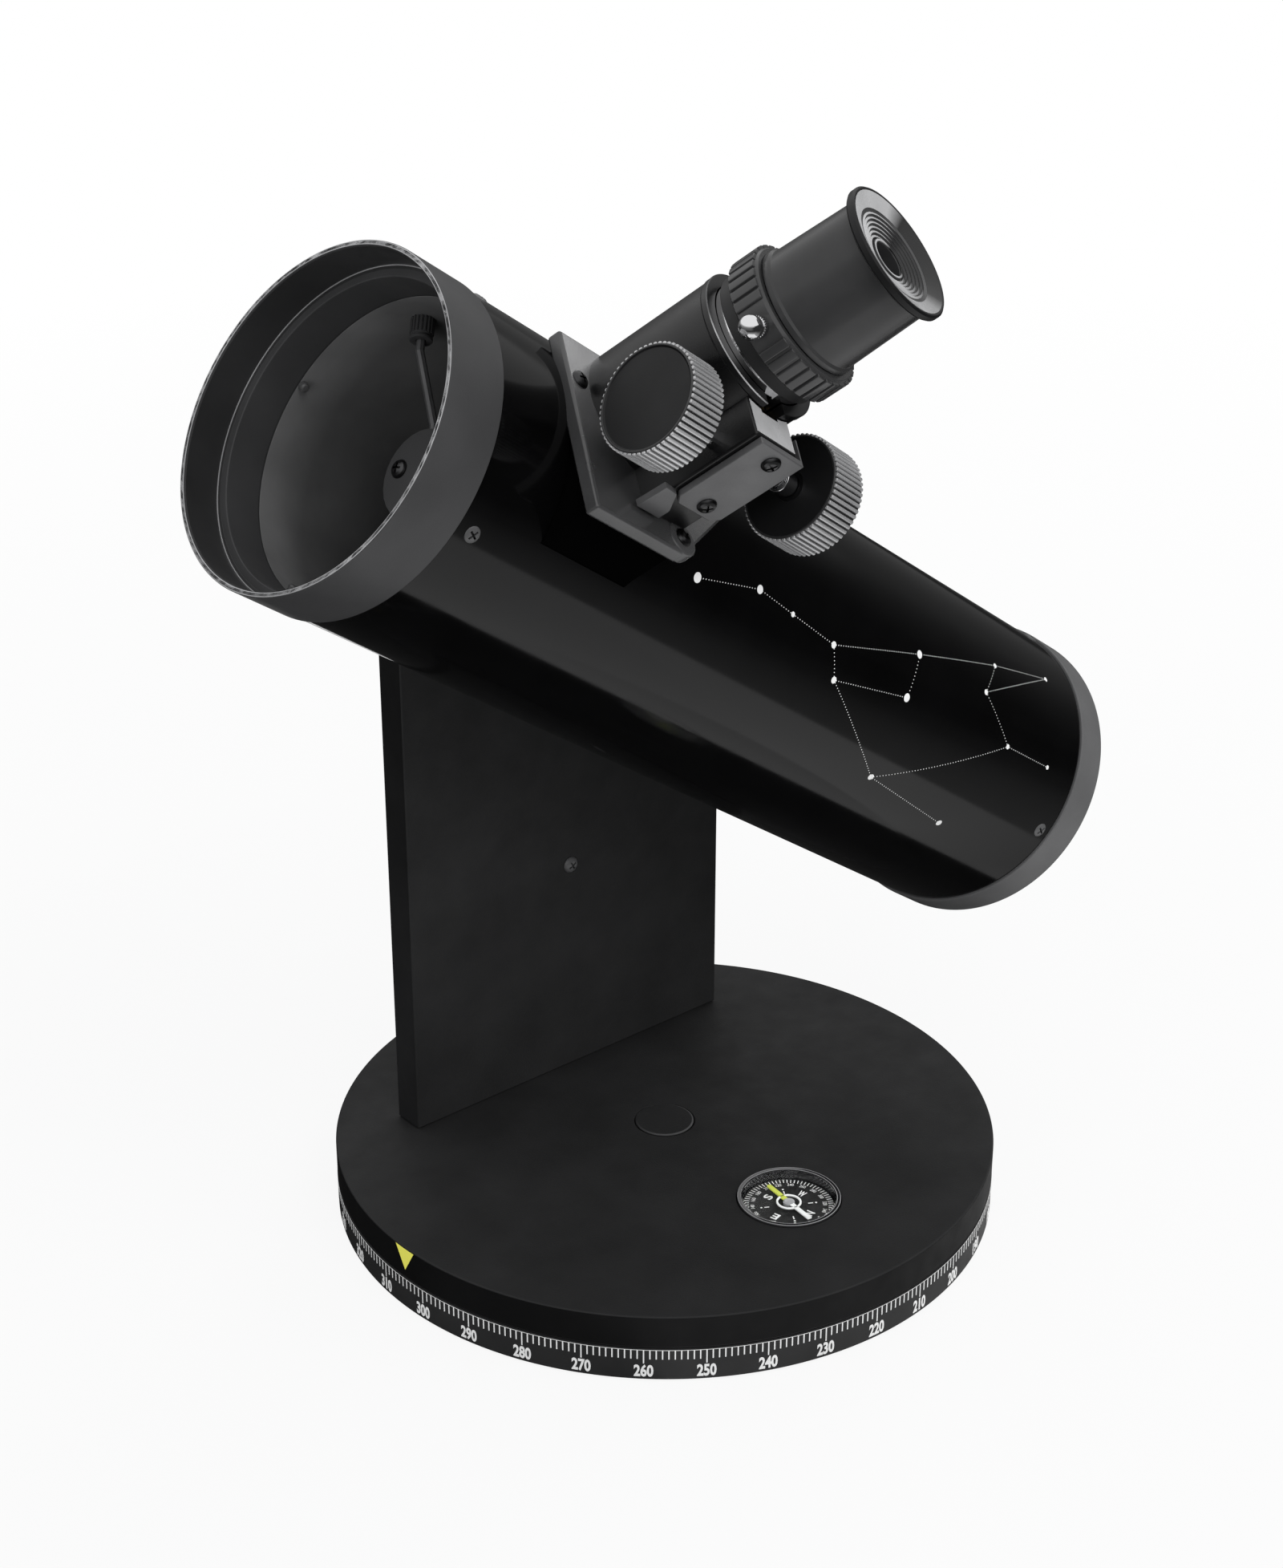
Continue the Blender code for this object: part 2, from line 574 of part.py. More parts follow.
def build_arm(turntable, board):
    middle = TUBE_OFFSET + ARM_FACE + ARM_THICKNESS / 2.0
    arm = box("side_arm", (-ARM_WIDTH / 2.0, TUBE_OFFSET + ARM_FACE, ARM_BOTTOM),
              (ARM_WIDTH / 2.0, TUBE_OFFSET + ARM_BACK, ARM_TOP), BLACK_BOARD, turntable)
    for end, side in (("front", -1.0), ("rear", 1.0)):
        place = (side * ARM_BOLT_SPACING / 2.0, middle, 0.0)
        head_bottom = TURNTABLE_BOTTOM + GAP
        head_top = head_bottom + ARM_BOLT_HEAD_HEIGHT
        tip = ARM_BOTTOM + ARM_BOLT_GRIP
        turned("arm_bolt_" + end, [
            (0.0, tip),
            (ARM_BOLT_RADIUS, tip),
            (ARM_BOLT_RADIUS, head_top),
            (ARM_BOLT_HEAD_RADIUS, head_top),
            (ARM_BOLT_HEAD_RADIUS, head_bottom),
            (0.0, head_bottom),
        ], DARK_STEEL, turntable, place)
        sink = rod("arm_bolt_sink_" + end, ARM_BOLT_HEAD_RADIUS + GAP, TURNTABLE_BOTTOM - CUT_MARGIN,
                   head_top + GAP, None, turntable, place)
        hole = rod("arm_bolt_hole_" + end, ARM_BOLT_RADIUS + HOLE_CLEARANCE, TURNTABLE_BOTTOM - CUT_MARGIN,
                   tip + GAP, None, turntable, place)
        cut(board, sink, hole)
        cut(arm, hole)
    head = (0.0, TUBE_OFFSET + ARM_FACE - GAP, ARM_SCREW_HEIGHT)
    screw("arm_screw", ARM_SCREW_LENGTH, DARK_STEEL, turntable, head, (math.pi / 2.0, 0.0, 0.0))
    screw_hole = rod("arm_screw_hole", SCREW_SHANK_RADIUS + HOLE_CLEARANCE, -CUT_MARGIN,
                     ARM_SCREW_LENGTH + GAP, None, turntable, head, SIDEWAYS, segments=SCREW_SEGMENTS)
    pivot_hole = rod("arm_pivot_hole", ALTITUDE_SHANK_RADIUS + HOLE_CLEARANCE, ARM_FACE - CUT_MARGIN,
                     ARM_BACK + CUT_MARGIN, None, turntable, (0.0, TUBE_OFFSET, PIVOT_HEIGHT), SIDEWAYS)
    cut(arm, screw_hole, pivot_hole)


def build_altitude_bearing(tube_axis, tube, tube_body):
    pivot_bore = ALTITUDE_SHANK_RADIUS + HOLE_CLEARANCE
    saddle_inner = math.sqrt(TUBE_RADIUS ** 2 - SADDLE_RADIUS ** 2) - CUT_MARGIN
    saddle = turned("altitude_saddle", [
        (pivot_bore, WASHER_FACE - GAP),
        (SADDLE_RADIUS, WASHER_FACE - GAP),
        (SADDLE_RADIUS, saddle_inner),
        (pivot_bore, saddle_inner),
    ], BLACK_PLASTIC, tube_axis, rotation=SIDEWAYS, segments=BARREL_SEGMENTS, ring=True)
    cut(saddle, tube_body)
    turned("friction_washer", [
        (pivot_bore, WASHER_FACE + FRICTION_WASHER_THICKNESS),
        (FRICTION_WASHER_RADIUS, WASHER_FACE + FRICTION_WASHER_THICKNESS),
        (FRICTION_WASHER_RADIUS, WASHER_FACE),
        (pivot_bore, WASHER_FACE),
    ], NYLON, tube_axis, rotation=SIDEWAYS, segments=BARREL_SEGMENTS, ring=True)
    head_top = math.sqrt(TUBE_INNER_RADIUS ** 2 - ALTITUDE_HEAD_RADIUS ** 2) - GAP
    head_bottom = head_top - ALTITUDE_HEAD_HEIGHT
    tip = KNOB_FACE + ALTITUDE_KNOB_BORE_DEPTH - GAP
    turned("altitude_bolt", [
        (0.0, tip),
        (ALTITUDE_SHANK_RADIUS, tip),
        (ALTITUDE_SHANK_RADIUS, head_top),
        (ALTITUDE_HEAD_RADIUS, head_top),
        (ALTITUDE_HEAD_RADIUS, head_bottom),
        (0.0, head_bottom),
    ], DARK_STEEL, tube_axis, rotation=SIDEWAYS)
    bolt_hole = rod("altitude_hole", pivot_bore, head_bottom, KNOB_FACE, None, tube_axis, rotation=SIDEWAYS)
    cut(tube, bolt_hole)
    turned("knob_washer", [
        (pivot_bore, KNOB_FACE - GAP),
        (KNOB_WASHER_RADIUS, KNOB_FACE - GAP),
        (KNOB_WASHER_RADIUS, ARM_BACK + GAP),
        (pivot_bore, ARM_BACK + GAP),
    ], DARK_STEEL, tube_axis, rotation=SIDEWAYS, ring=True)
    knob_top = KNOB_FACE + ALTITUDE_KNOB_LENGTH
    turned("altitude_knob", [
        (0.0, knob_top),
        (ALTITUDE_KNOB_RADIUS, knob_top),
        (ALTITUDE_KNOB_RADIUS, KNOB_FACE),
        (pivot_bore, KNOB_FACE),
        (pivot_bore, KNOB_FACE + ALTITUDE_KNOB_BORE_DEPTH),
        (0.0, KNOB_FACE + ALTITUDE_KNOB_BORE_DEPTH),
    ], BLACK_PLASTIC, tube_axis, rotation=SIDEWAYS, segments=KNOB_SEGMENTS)


def build_tube(tube_axis):
    """The painted tube, its open front ring, its mirror cell and the screws that hold both."""
    front = FRONT_COLLAR_BACK + GAP
    rear = REAR_COLLAR_FRONT - GAP
    tube = turned("main_tube", [
        (TUBE_INNER_RADIUS, rear),
        (TUBE_RADIUS, rear),
        (TUBE_RADIUS, front),
        (TUBE_INNER_RADIUS, front),
    ], GLOSS_BLACK, tube_axis, rotation=ALONG_TUBE, segments=TUBE_SEGMENTS, ring=True)
    rim = -FRONT_REACH
    step = rim + RIM_DEPTH
    sleeve_end = FRONT_COLLAR_BACK + FRONT_SLEEVE_LENGTH
    front_ring = turned("front_ring", [
        (SLEEVE_INNER_RADIUS, sleeve_end),
        (SLEEVE_RADIUS, sleeve_end),
        (SLEEVE_RADIUS, FRONT_COLLAR_BACK),
        (COLLAR_RADIUS, FRONT_COLLAR_BACK),
        (COLLAR_RADIUS, rim),
        (COLLAR_RADIUS - RIM_WALL, rim),
        (COLLAR_RADIUS - RIM_WALL, step),
        (SLEEVE_INNER_RADIUS, step),
    ], DARK_PLASTIC, tube_axis, rotation=ALONG_TUBE, segments=TUBE_SEGMENTS, ring=True)
    cell_front = REAR_COLLAR_FRONT - REAR_SLEEVE_LENGTH
    seat = cell_front + RETAINER_LIP_THICKNESS + GAP + MIRROR_THICKNESS + GAP
    floor_back = seat + CELL_FLOOR_THICKNESS
    rear_cell = turned("rear_cell", [
        (0.0, floor_back),
        (COLLAR_RADIUS - CELL_BACK_WALL, floor_back),
        (COLLAR_RADIUS - CELL_BACK_WALL, REAR_REACH),
        (COLLAR_RADIUS, REAR_REACH),
        (COLLAR_RADIUS, REAR_COLLAR_FRONT),
        (SLEEVE_RADIUS, REAR_COLLAR_FRONT),
        (SLEEVE_RADIUS, cell_front),
        (SLEEVE_INNER_RADIUS, cell_front),
        (SLEEVE_INNER_RADIUS, seat),
        (0.0, seat),
    ], DARK_PLASTIC, tube_axis, rotation=ALONG_TUBE, segments=TUBE_SEGMENTS)
    mirror_back = seat - GAP
    mirror_face = mirror_back - MIRROR_THICKNESS
    turned("primary_mirror", [
        (0.0, mirror_back),
        (MIRROR_RADIUS, mirror_back),
        (MIRROR_RADIUS, mirror_face),
        (0.0, mirror_face),
    ], MIRROR, tube_axis, rotation=ALONG_TUBE, segments=TUBE_SEGMENTS)
    lip = MIRROR_RADIUS - RETAINER_LIP
    turned("mirror_retainer", [
        (MIRROR_RADIUS + GAP, mirror_back),
        (SLEEVE_INNER_RADIUS - GAP, mirror_back),
        (SLEEVE_INNER_RADIUS - GAP, cell_front),
        (lip, cell_front),
        (lip, mirror_face - GAP),
        (MIRROR_RADIUS + GAP, mirror_face - GAP),
    ], BLACK_PLASTIC, tube_axis, rotation=ALONG_TUBE, segments=TUBE_SEGMENTS, ring=True)

    grip = TUBE_RADIUS + GAP - SLEEVE_INNER_RADIUS
    rows = (
        ("front", FRONT_COLLAR_BACK + FRONT_SCREW_INSET, front_ring, grip + SCREW_TIP_PROUD),
        ("rear", REAR_COLLAR_FRONT - REAR_SCREW_INSET, rear_cell, grip - GAP),
    )
    for end, along, holder, length in rows:
        for index in range(TUBE_SCREW_COUNT):
            angle = TUBE_SCREW_FIRST_ANGLE - index * 2.0 * math.pi / TUBE_SCREW_COUNT
            label = "tube_screw_%s_%d" % (end, index + 1)
            seat_place = around_tube(angle, TUBE_RADIUS + GAP, along)
            turn = (angle, 0.0, 0.0)
            screw(label, length, DARK_STEEL, tube_axis, seat_place, turn)
            hole = rod(label + "_hole", SCREW_SHANK_RADIUS + HOLE_CLEARANCE, -grip - GAP, CUT_MARGIN, None,
                       tube_axis, seat_place, turn, SCREW_SEGMENTS)
            cut(tube, hole)
            cut(holder, hole)
    return tube


def build_secondary(tube_axis, focuser_axis, tube):
    """The small slanted mirror, its holder, and the bent stalk that hangs both from the tube wall."""
    disc_front = -HOLDER_REACH
    holder = rod("secondary_holder", HOLDER_RADIUS, disc_front, HOLDER_RADIUS, DARK_PLASTIC, focuser_axis,
                 rotation=ALONG_TUBE, segments=KNOB_SEGMENTS)
    big = 2.0 * HOLDER_REACH
    slant = (0.0, math.pi / 4.0, 0.0)
    behind_mirror = SECONDARY_THICKNESS + GAP
    light_side = box("secondary_slant", (-big, -big, -behind_mirror), (big, big, big), None, focuser_axis,
                     rotation=slant)
    cut(holder, light_side)
    mirror = rod("secondary_mirror", HOLDER_RADIUS - GAP, disc_front, big, MIRROR, focuser_axis,
                 rotation=ALONG_TUBE, segments=KNOB_SEGMENTS)
    slab = box("secondary_slab", (-big, -big, -SECONDARY_THICKNESS), (big, big, 0.0), None, focuser_axis,
               rotation=slant)
    combine(mirror, slab, 'INTERSECT')

    holder_front = FOCUSER_AXIS + disc_front
    for index in range(COLLIMATION_COUNT):
        angle = COLLIMATION_FIRST_ANGLE + index * 2.0 * math.pi / COLLIMATION_COUNT
        label = "collimation_screw_%d" % (index + 1)
        place = around_tube(angle, COLLIMATION_CIRCLE, holder_front - GAP)
        screw(label, COLLIMATION_SHANK_LENGTH, DARK_STEEL, tube_axis, place, (0.0, -math.pi / 2.0, 0.0))
        hole = rod(label + "_hole", SCREW_SHANK_RADIUS + HOLE_CLEARANCE, -COLLIMATION_SHANK_LENGTH - GAP,
                   CUT_MARGIN, None, tube_axis, place, (0.0, -math.pi / 2.0, 0.0), SCREW_SEGMENTS)
        cut(holder, hole)

    foot_along = holder_front + STALK_INSET
    boss_along = foot_along - STALK_LEAN
    foot_tip = HOLDER_RADIUS - STALK_GRIP
    boss_top = math.sqrt(TUBE_INNER_RADIUS ** 2 - STALK_BOSS_RADIUS ** 2) - GAP
    boss_bottom = boss_top - STALK_BOSS_LENGTH
    stalk_tip = boss_bottom + STALK_GRIP
    bent_rod("spider_stalk", [
        around_tube(STALK_ANGLE, foot_tip, foot_along),
        around_tube(STALK_ANGLE, HOLDER_RADIUS + STALK_BEND, foot_along),
        around_tube(STALK_ANGLE, boss_bottom - STALK_BEND, boss_along),
        around_tube(STALK_ANGLE, stalk_tip, boss_along),
    ], STALK_RADIUS, DARK_STEEL, tube_axis)
    radial = (STALK_ANGLE, 0.0, 0.0)
    stalk_bore = STALK_RADIUS + HOLE_CLEARANCE
    foot_hole = rod("stalk_foot_hole", stalk_bore, foot_tip - GAP, HOLDER_RADIUS + CUT_MARGIN, None,
                    tube_axis, (foot_along, 0.0, 0.0), radial, SCREW_SEGMENTS)
    cut(holder, foot_hole)
    screw_bore = SCREW_SHANK_RADIUS + HOLE_CLEARANCE
    screw_floor = stalk_tip + 2.0 * GAP
    turned("spider_boss", [
        (screw_bore, boss_top),
        (STALK_BOSS_RADIUS, boss_top),
        (STALK_BOSS_RADIUS, boss_bottom),
        (stalk_bore, boss_bottom),
        (stalk_bore, screw_floor - GAP),
        (screw_bore, screw_floor - GAP),
    ], BLACK_PLASTIC, tube_axis, (boss_along, 0.0, 0.0), radial, ring=True)
    spider_seat = TUBE_RADIUS + GAP
    screw("spider_screw", spider_seat - screw_floor, DARK_STEEL, tube_axis,
          around_tube(STALK_ANGLE, spider_seat, boss_along), radial)
    wall_hole = rod("spider_screw_hole", screw_bore, boss_top, TUBE_RADIUS + CUT_MARGIN, None, tube_axis,
                    (boss_along, 0.0, 0.0), radial, SCREW_SEGMENTS)
    cut(tube, wall_hole)


def build_focuser(focuser_axis, tube, tube_body):
    """The cast base, barrel and pinion block, the cover and the screws that hold them."""
    plate_bottom = PLATE_TOP - PLATE_THICKNESS
    half = PLATE_LENGTH / 2.0
    plate = [
        (-half, PLATE_UPPER_SIDE),
        (-half, -PLATE_LOWER_SIDE),
        (half - PLATE_CORNER_CUT, -PLATE_LOWER_SIDE),
        (half, PLATE_CORNER_CUT - PLATE_LOWER_SIDE),
        (half, PLATE_UPPER_SIDE),
    ]
    housing = outline("focuser_housing", plate, PLATE_THICKNESS, CASTING, focuser_axis,
                      (0.0, 0.0, PLATE_TOP - PLATE_THICKNESS / 2.0))
    inset = SADDLE_BLOCK_INSET
    block_half = half - inset
    low_side = PLATE_LOWER_SIDE - inset
    corner_cut = PLATE_CORNER_CUT - inset * (2.0 - math.sqrt(2.0))
    saddle_outline = [
        (-block_half, PLATE_UPPER_SIDE - inset),
        (-block_half, -low_side),
        (block_half - corner_cut, -low_side),
        (block_half, corner_cut - low_side),
        (block_half, PLATE_UPPER_SIDE - inset),
    ]
    saddle_height = SADDLE_BLOCK_DEPTH + PLATE_THICKNESS / 2.0
    saddle = outline("focuser_saddle_block", saddle_outline, saddle_height, None, focuser_axis,
                     (0.0, 0.0, plate_bottom - SADDLE_BLOCK_DEPTH + saddle_height / 2.0))
    rim_bottom = BARREL_HEIGHT - BARREL_RIM_LENGTH
    barrel = turned("focuser_barrel", [
        (0.0, BARREL_HEIGHT),
        (BARREL_RADIUS + BARREL_RIM_PROUD, BARREL_HEIGHT),
        (BARREL_RADIUS + BARREL_RIM_PROUD, rim_bottom),
        (BARREL_RADIUS, rim_bottom),
        (BARREL_RADIUS, plate_bottom + GAP),
        (0.0, plate_bottom + GAP),
    ], None, focuser_axis, segments=BARREL_SEGMENTS)
    half_block = BLOCK_WIDTH / 2.0
    block = box("pinion_block", (-half_block, -BLOCK_SIDE, PLATE_TOP - GAP),
                (half_block, -DRAW_TUBE_INNER_RADIUS, BLOCK_TOP), None, focuser_axis)
    unite(housing, saddle, barrel, block)
    cut(housing, tube_body)
    bore = rod("focuser_bore", BARREL_BORE, 0.0, BARREL_HEIGHT + CUT_MARGIN, None, focuser_axis,
               segments=BARREL_SEGMENTS)
    half_slot = RACK_WIDTH / 2.0 + HOLE_CLEARANCE
    slot = box("rack_slot", (-half_slot, -RACK_TIP - 2.0 * GAP, DRAW_TUBE_BOTTOM - CUT_MARGIN),
               (half_slot, 0.0, BARREL_HEIGHT + CUT_MARGIN), None, focuser_axis)
    pinion_place = (0.0, -PINION_OFFSET, PINION_HEIGHT)
    half_gear = GEAR_WIDTH / 2.0 + GAP
    cavity = rod("pinion_cavity", PINION_CAVITY_RADIUS, -half_gear, half_gear, None, focuser_axis,
                 pinion_place, ALONG_TUBE)
    mouth = box("pinion_mouth", (-half_gear, -BLOCK_SIDE - CUT_MARGIN, PINION_HEIGHT - PINION_TIP_RADIUS),
                (half_gear, -PINION_OFFSET, PINION_HEIGHT + PINION_TIP_RADIUS), None, focuser_axis)
    shaft_hole = rod("pinion_shaft_hole", PINION_SHAFT_RADIUS + HOLE_CLEARANCE, -half_block - CUT_MARGIN,
                     half_block + CUT_MARGIN, None, focuser_axis, pinion_place, ALONG_TUBE)
    window = rod("focuser_window", BARREL_BORE, 0.0, PLATE_TOP, None, focuser_axis, segments=BARREL_SEGMENTS)
    rack_window = box("rack_window", (-half_slot, -RACK_TIP - 2.0 * GAP, 0.0), (half_slot, 0.0, PLATE_TOP),
                      None, focuser_axis)
    cut(tube, window, rack_window)

    cover_inner = BLOCK_SIDE + GAP
    cover_outer = cover_inner + COVER_THICKNESS
    cover = box("pinion_cover", (-half_block, -cover_outer, COVER_TOP - COVER_LENGTH),
                (half_block, -cover_inner, COVER_TOP), CASTING, focuser_axis)
    cover_middle = COVER_TOP - COVER_LENGTH / 2.0
    for end, side in (("lower", -1.0), ("upper", 1.0)):
        label = "cover_screw_" + end
        place = (0.0, -cover_outer - GAP, cover_middle + side * COVER_SCREW_SPACING / 2.0)
        length = GAP + COVER_THICKNESS + GAP + COVER_SCREW_GRIP
        turn = (math.pi / 2.0, 0.0, 0.0)
        screw(label, length, DARK_STEEL, focuser_axis, place, turn)
        hole = rod(label + "_hole", SCREW_SHANK_RADIUS + HOLE_CLEARANCE, -length - GAP, CUT_MARGIN, None,
                   focuser_axis, place, turn, SCREW_SEGMENTS)
        cut(housing, hole)
        cut(cover, hole)

    saddle_screws = (
        ("front", FRONT_SADDLE_SCREW),
        ("side", SIDE_SADDLE_SCREW),
        ("rear", REAR_SADDLE_SCREW),
    )
    for end, (along, across) in saddle_screws:
        label = "saddle_screw_" + end
        place = (along, -across, PLATE_TOP + GAP)
        wall_inside = math.sqrt(TUBE_INNER_RADIUS ** 2 - across ** 2)
        length = PLATE_TOP + GAP - wall_inside + SADDLE_SCREW_GRIP
        screw(label, length, DARK_STEEL, focuser_axis, place)
        hole = rod(label + "_hole", SCREW_SHANK_RADIUS + HOLE_CLEARANCE, -length - CUT_MARGIN, CUT_MARGIN,
                   None, focuser_axis, place, segments=SCREW_SEGMENTS)
        cut(housing, hole)
        cut(tube, hole)
    cut(housing, bore, slot, cavity, mouth, shaft_hole)


TOOTH_CORNERS = ((-TOOTH_DEDENDUM, -1), (TOOTH_ADDENDUM, -1), (TOOTH_ADDENDUM, 1), (-TOOTH_DEDENDUM, 1))


def tooth_half_width(from_pitch_line):
    """Half the thickness of a tooth at a height above its pitch line."""
    return (TOOTH_PITCH / 2.0 - TOOTH_BACKLASH) / 2.0 - from_pitch_line * TOOTH_SLOPE


def build_pinion(pinion_axis):
    points = []
    for index in range(PINION_TEETH):
        middle = -math.pi / 2.0 + index * 2.0 * math.pi / PINION_TEETH
        for height, side in TOOTH_CORNERS:
            radius = PINION_PITCH_RADIUS + height
            angle = middle + side * tooth_half_width(height) / PINION_PITCH_RADIUS
            points.append((radius * math.cos(angle), radius * math.sin(angle)))
    pinion = outline("pinion_shaft", points, GEAR_WIDTH, CHROME, pinion_axis, rotation=TOOTH_PLANE)
    reach = KNOB_INNER_FACE + KNOB_BORE_DEPTH - GAP
    plain_shaft = rod("pinion_rod", PINION_SHAFT_RADIUS, -reach, reach, None, pinion_axis,
                      rotation=ALONG_TUBE)
    unite(pinion, plain_shaft)
    bore = PINION_SHAFT_RADIUS + HOLE_CLEARANCE
    outer_face = KNOB_INNER_FACE + KNOB_LENGTH
    dish_floor = outer_face - KNOB_DISH_DEPTH
    bore_floor = KNOB_INNER_FACE + KNOB_BORE_DEPTH
    for end, turn in (("front", (0.0, -math.pi / 2.0, 0.0)), ("rear", ALONG_TUBE)):
        turned("focus_knob_" + end, [
            (0.0, dish_floor),
            (KNOB_DISH_RADIUS, dish_floor),
            (KNOB_DISH_RADIUS, outer_face),
            (KNOB_RADIUS, outer_face),
            (KNOB_RADIUS, KNOB_INNER_FACE),
            (bore, KNOB_INNER_FACE),
            (bore, bore_floor),
            (0.0, bore_floor),
        ], BLACK_PLASTIC, pinion_axis, rotation=turn, segments=KNOB_SEGMENTS)


def build_draw_tube(draw_axis):
    draw_tube = turned("draw_tube", [
        (DRAW_TUBE_INNER_RADIUS, DRAW_TUBE_TOP),
        (DRAW_TUBE_RADIUS, DRAW_TUBE_TOP),
        (DRAW_TUBE_RADIUS, DRAW_TUBE_BOTTOM),
        (DRAW_TUBE_INNER_RADIUS, DRAW_TUBE_BOTTOM),
    ], CHROME, draw_axis, segments=BARREL_SEGMENTS, ring=True)
    first = -RACK_TEETH_BELOW
    points = [(PINION_HEIGHT + first * TOOTH_PITCH, RACK_ROOT)]
    for index in range(RACK_TEETH):
        middle = PINION_HEIGHT + (first + index + 0.5) * TOOTH_PITCH
        for height, side in TOOTH_CORNERS:
            points.append((middle + side * tooth_half_width(height), RACK_PITCH_LINE + height))
    top = PINION_HEIGHT + (first + RACK_TEETH) * TOOTH_PITCH
    points.extend([(top, RACK_ROOT), (top, RACK_INNER), (PINION_HEIGHT + first * TOOTH_PITCH, RACK_INNER)])
    outline("focus_rack", points, RACK_WIDTH, BLACK_PLASTIC, draw_axis, rotation=TOOTH_PLANE)

    collar_top = HOLDER_RING_BOTTOM + HOLDER_COLLAR_LENGTH
    ring_bore = DRAW_TUBE_RADIUS + GAP
    holder_ring = turned("eyepiece_holder", [
        (DRAW_TUBE_INNER_RADIUS, HOLDER_RING_TOP),
        (HOLDER_RING_RADIUS, HOLDER_RING_TOP),
        (HOLDER_RING_RADIUS, collar_top),
        (HOLDER_COLLAR_RADIUS, collar_top),
        (HOLDER_COLLAR_RADIUS, HOLDER_RING_BOTTOM),
        (ring_bore, HOLDER_RING_BOTTOM),
        (ring_bore, DRAW_TUBE_TOP + GAP),
        (DRAW_TUBE_INNER_RADIUS, DRAW_TUBE_TOP + GAP),
    ], BLACK_PLASTIC, draw_axis, segments=BARREL_SEGMENTS, ring=True)

    lock_axis = frame("lock_screw_axis", draw_axis, (0.0, 0.0, LOCK_SCREW_HEIGHT),
                      (0.0, math.pi / 2.0, -LOCK_SCREW_ANGLE))
    tip = BARREL_SIZE_RADIUS + GAP
    head_bottom = HOLDER_RING_RADIUS + GAP
    head_top = head_bottom + LOCK_HEAD_LENGTH
    turned("eyepiece_lock_screw", [
        (0.0, head_top),
        (LOCK_HEAD_RADIUS, head_top),
        (LOCK_HEAD_RADIUS, head_bottom),
        (LOCK_SHANK_RADIUS, head_bottom),
        (LOCK_SHANK_RADIUS, tip),
        (0.0, tip),
    ], CHROME, lock_axis, segments=SMALL_SEGMENTS)
    hole = rod("lock_screw_hole", LOCK_SHANK_RADIUS + HOLE_CLEARANCE, BARREL_SIZE_RADIUS - CUT_MARGIN,
               head_top, None, lock_axis)
    cut(draw_tube, hole)
    cut(holder_ring, hole)


def build_eyepiece(eyepiece_axis):
    stop_top = EYEPIECE_BOTTOM + EYEPIECE_SPIGOT
    stop_bottom = stop_top - FIELD_STOP_THICKNESS
    bottom = EYEPIECE_BOTTOM - EYEPIECE_INSERTION
    inner = BARREL_SIZE_RADIUS - EYEPIECE_TUBE_WALL
    turned("eyepiece_barrel", [
        (FIELD_STOP_RADIUS, stop_top),
        (BARREL_SIZE_RADIUS, stop_top),
        (BARREL_SIZE_RADIUS, bottom),
        (inner, bottom),
        (inner, stop_bottom),
        (FIELD_STOP_RADIUS, stop_bottom),
    ], CHROME, eyepiece_axis, segments=BARREL_SEGMENTS, ring=True)
    flange_bottom = EYEPIECE_TOP - EYEPIECE_FLANGE_THICKNESS
    dish_bottom = EYEPIECE_TOP - EYE_DISH_DEPTH
    lens_shoulder = dish_bottom - EYE_LENS_LIP
    field_bottom = stop_top + GAP
    field_top = field_bottom + FIELD_LENS_THICKNESS
    field_bore = FIELD_LENS_RADIUS + GAP
    spigot_bore = BARREL_SIZE_RADIUS + GAP
    eye_bore = EYE_LENS_RADIUS + GAP
    turned("eyepiece_body", [
        (EYE_HOLE_RADIUS, dish_bottom),
        (EYE_DISH_RADIUS, EYEPIECE_TOP),
        (EYEPIECE_FLANGE_RADIUS, EYEPIECE_TOP),
        (EYEPIECE_FLANGE_RADIUS, flange_bottom),
        (EYEPIECE_NECK_RADIUS, flange_bottom),
        (EYEPIECE_BASE_RADIUS, EYEPIECE_BOTTOM),
        (spigot_bore, EYEPIECE_BOTTOM),
        (spigot_bore, field_bottom),
        (field_bore, field_bottom),
        (field_bore, field_top + GAP),
        (eye_bore, field_top + GAP),
        (eye_bore, lens_shoulder),
        (EYE_HOLE_RADIUS, lens_shoulder),
    ], BLACK_PLASTIC, eyepiece_axis, segments=BARREL_SEGMENTS, ring=True)
    turned("field_lens", [
        (0.0, field_top),
        (FIELD_LENS_RADIUS, field_top),
        (FIELD_LENS_RADIUS, field_bottom),
        (0.0, field_bottom),
    ], GLASS, eyepiece_axis, segments=SMALL_SEGMENTS)
    lens_top = lens_shoulder - GAP
    turned("eye_lens", [
        (0.0, lens_top),
        (EYE_LENS_RADIUS, lens_top),
        (EYE_LENS_RADIUS, lens_top - EYE_LENS_THICKNESS),
        (0.0, lens_top - EYE_LENS_THICKNESS),
    ], GLASS, eyepiece_axis, segments=SMALL_SEGMENTS)


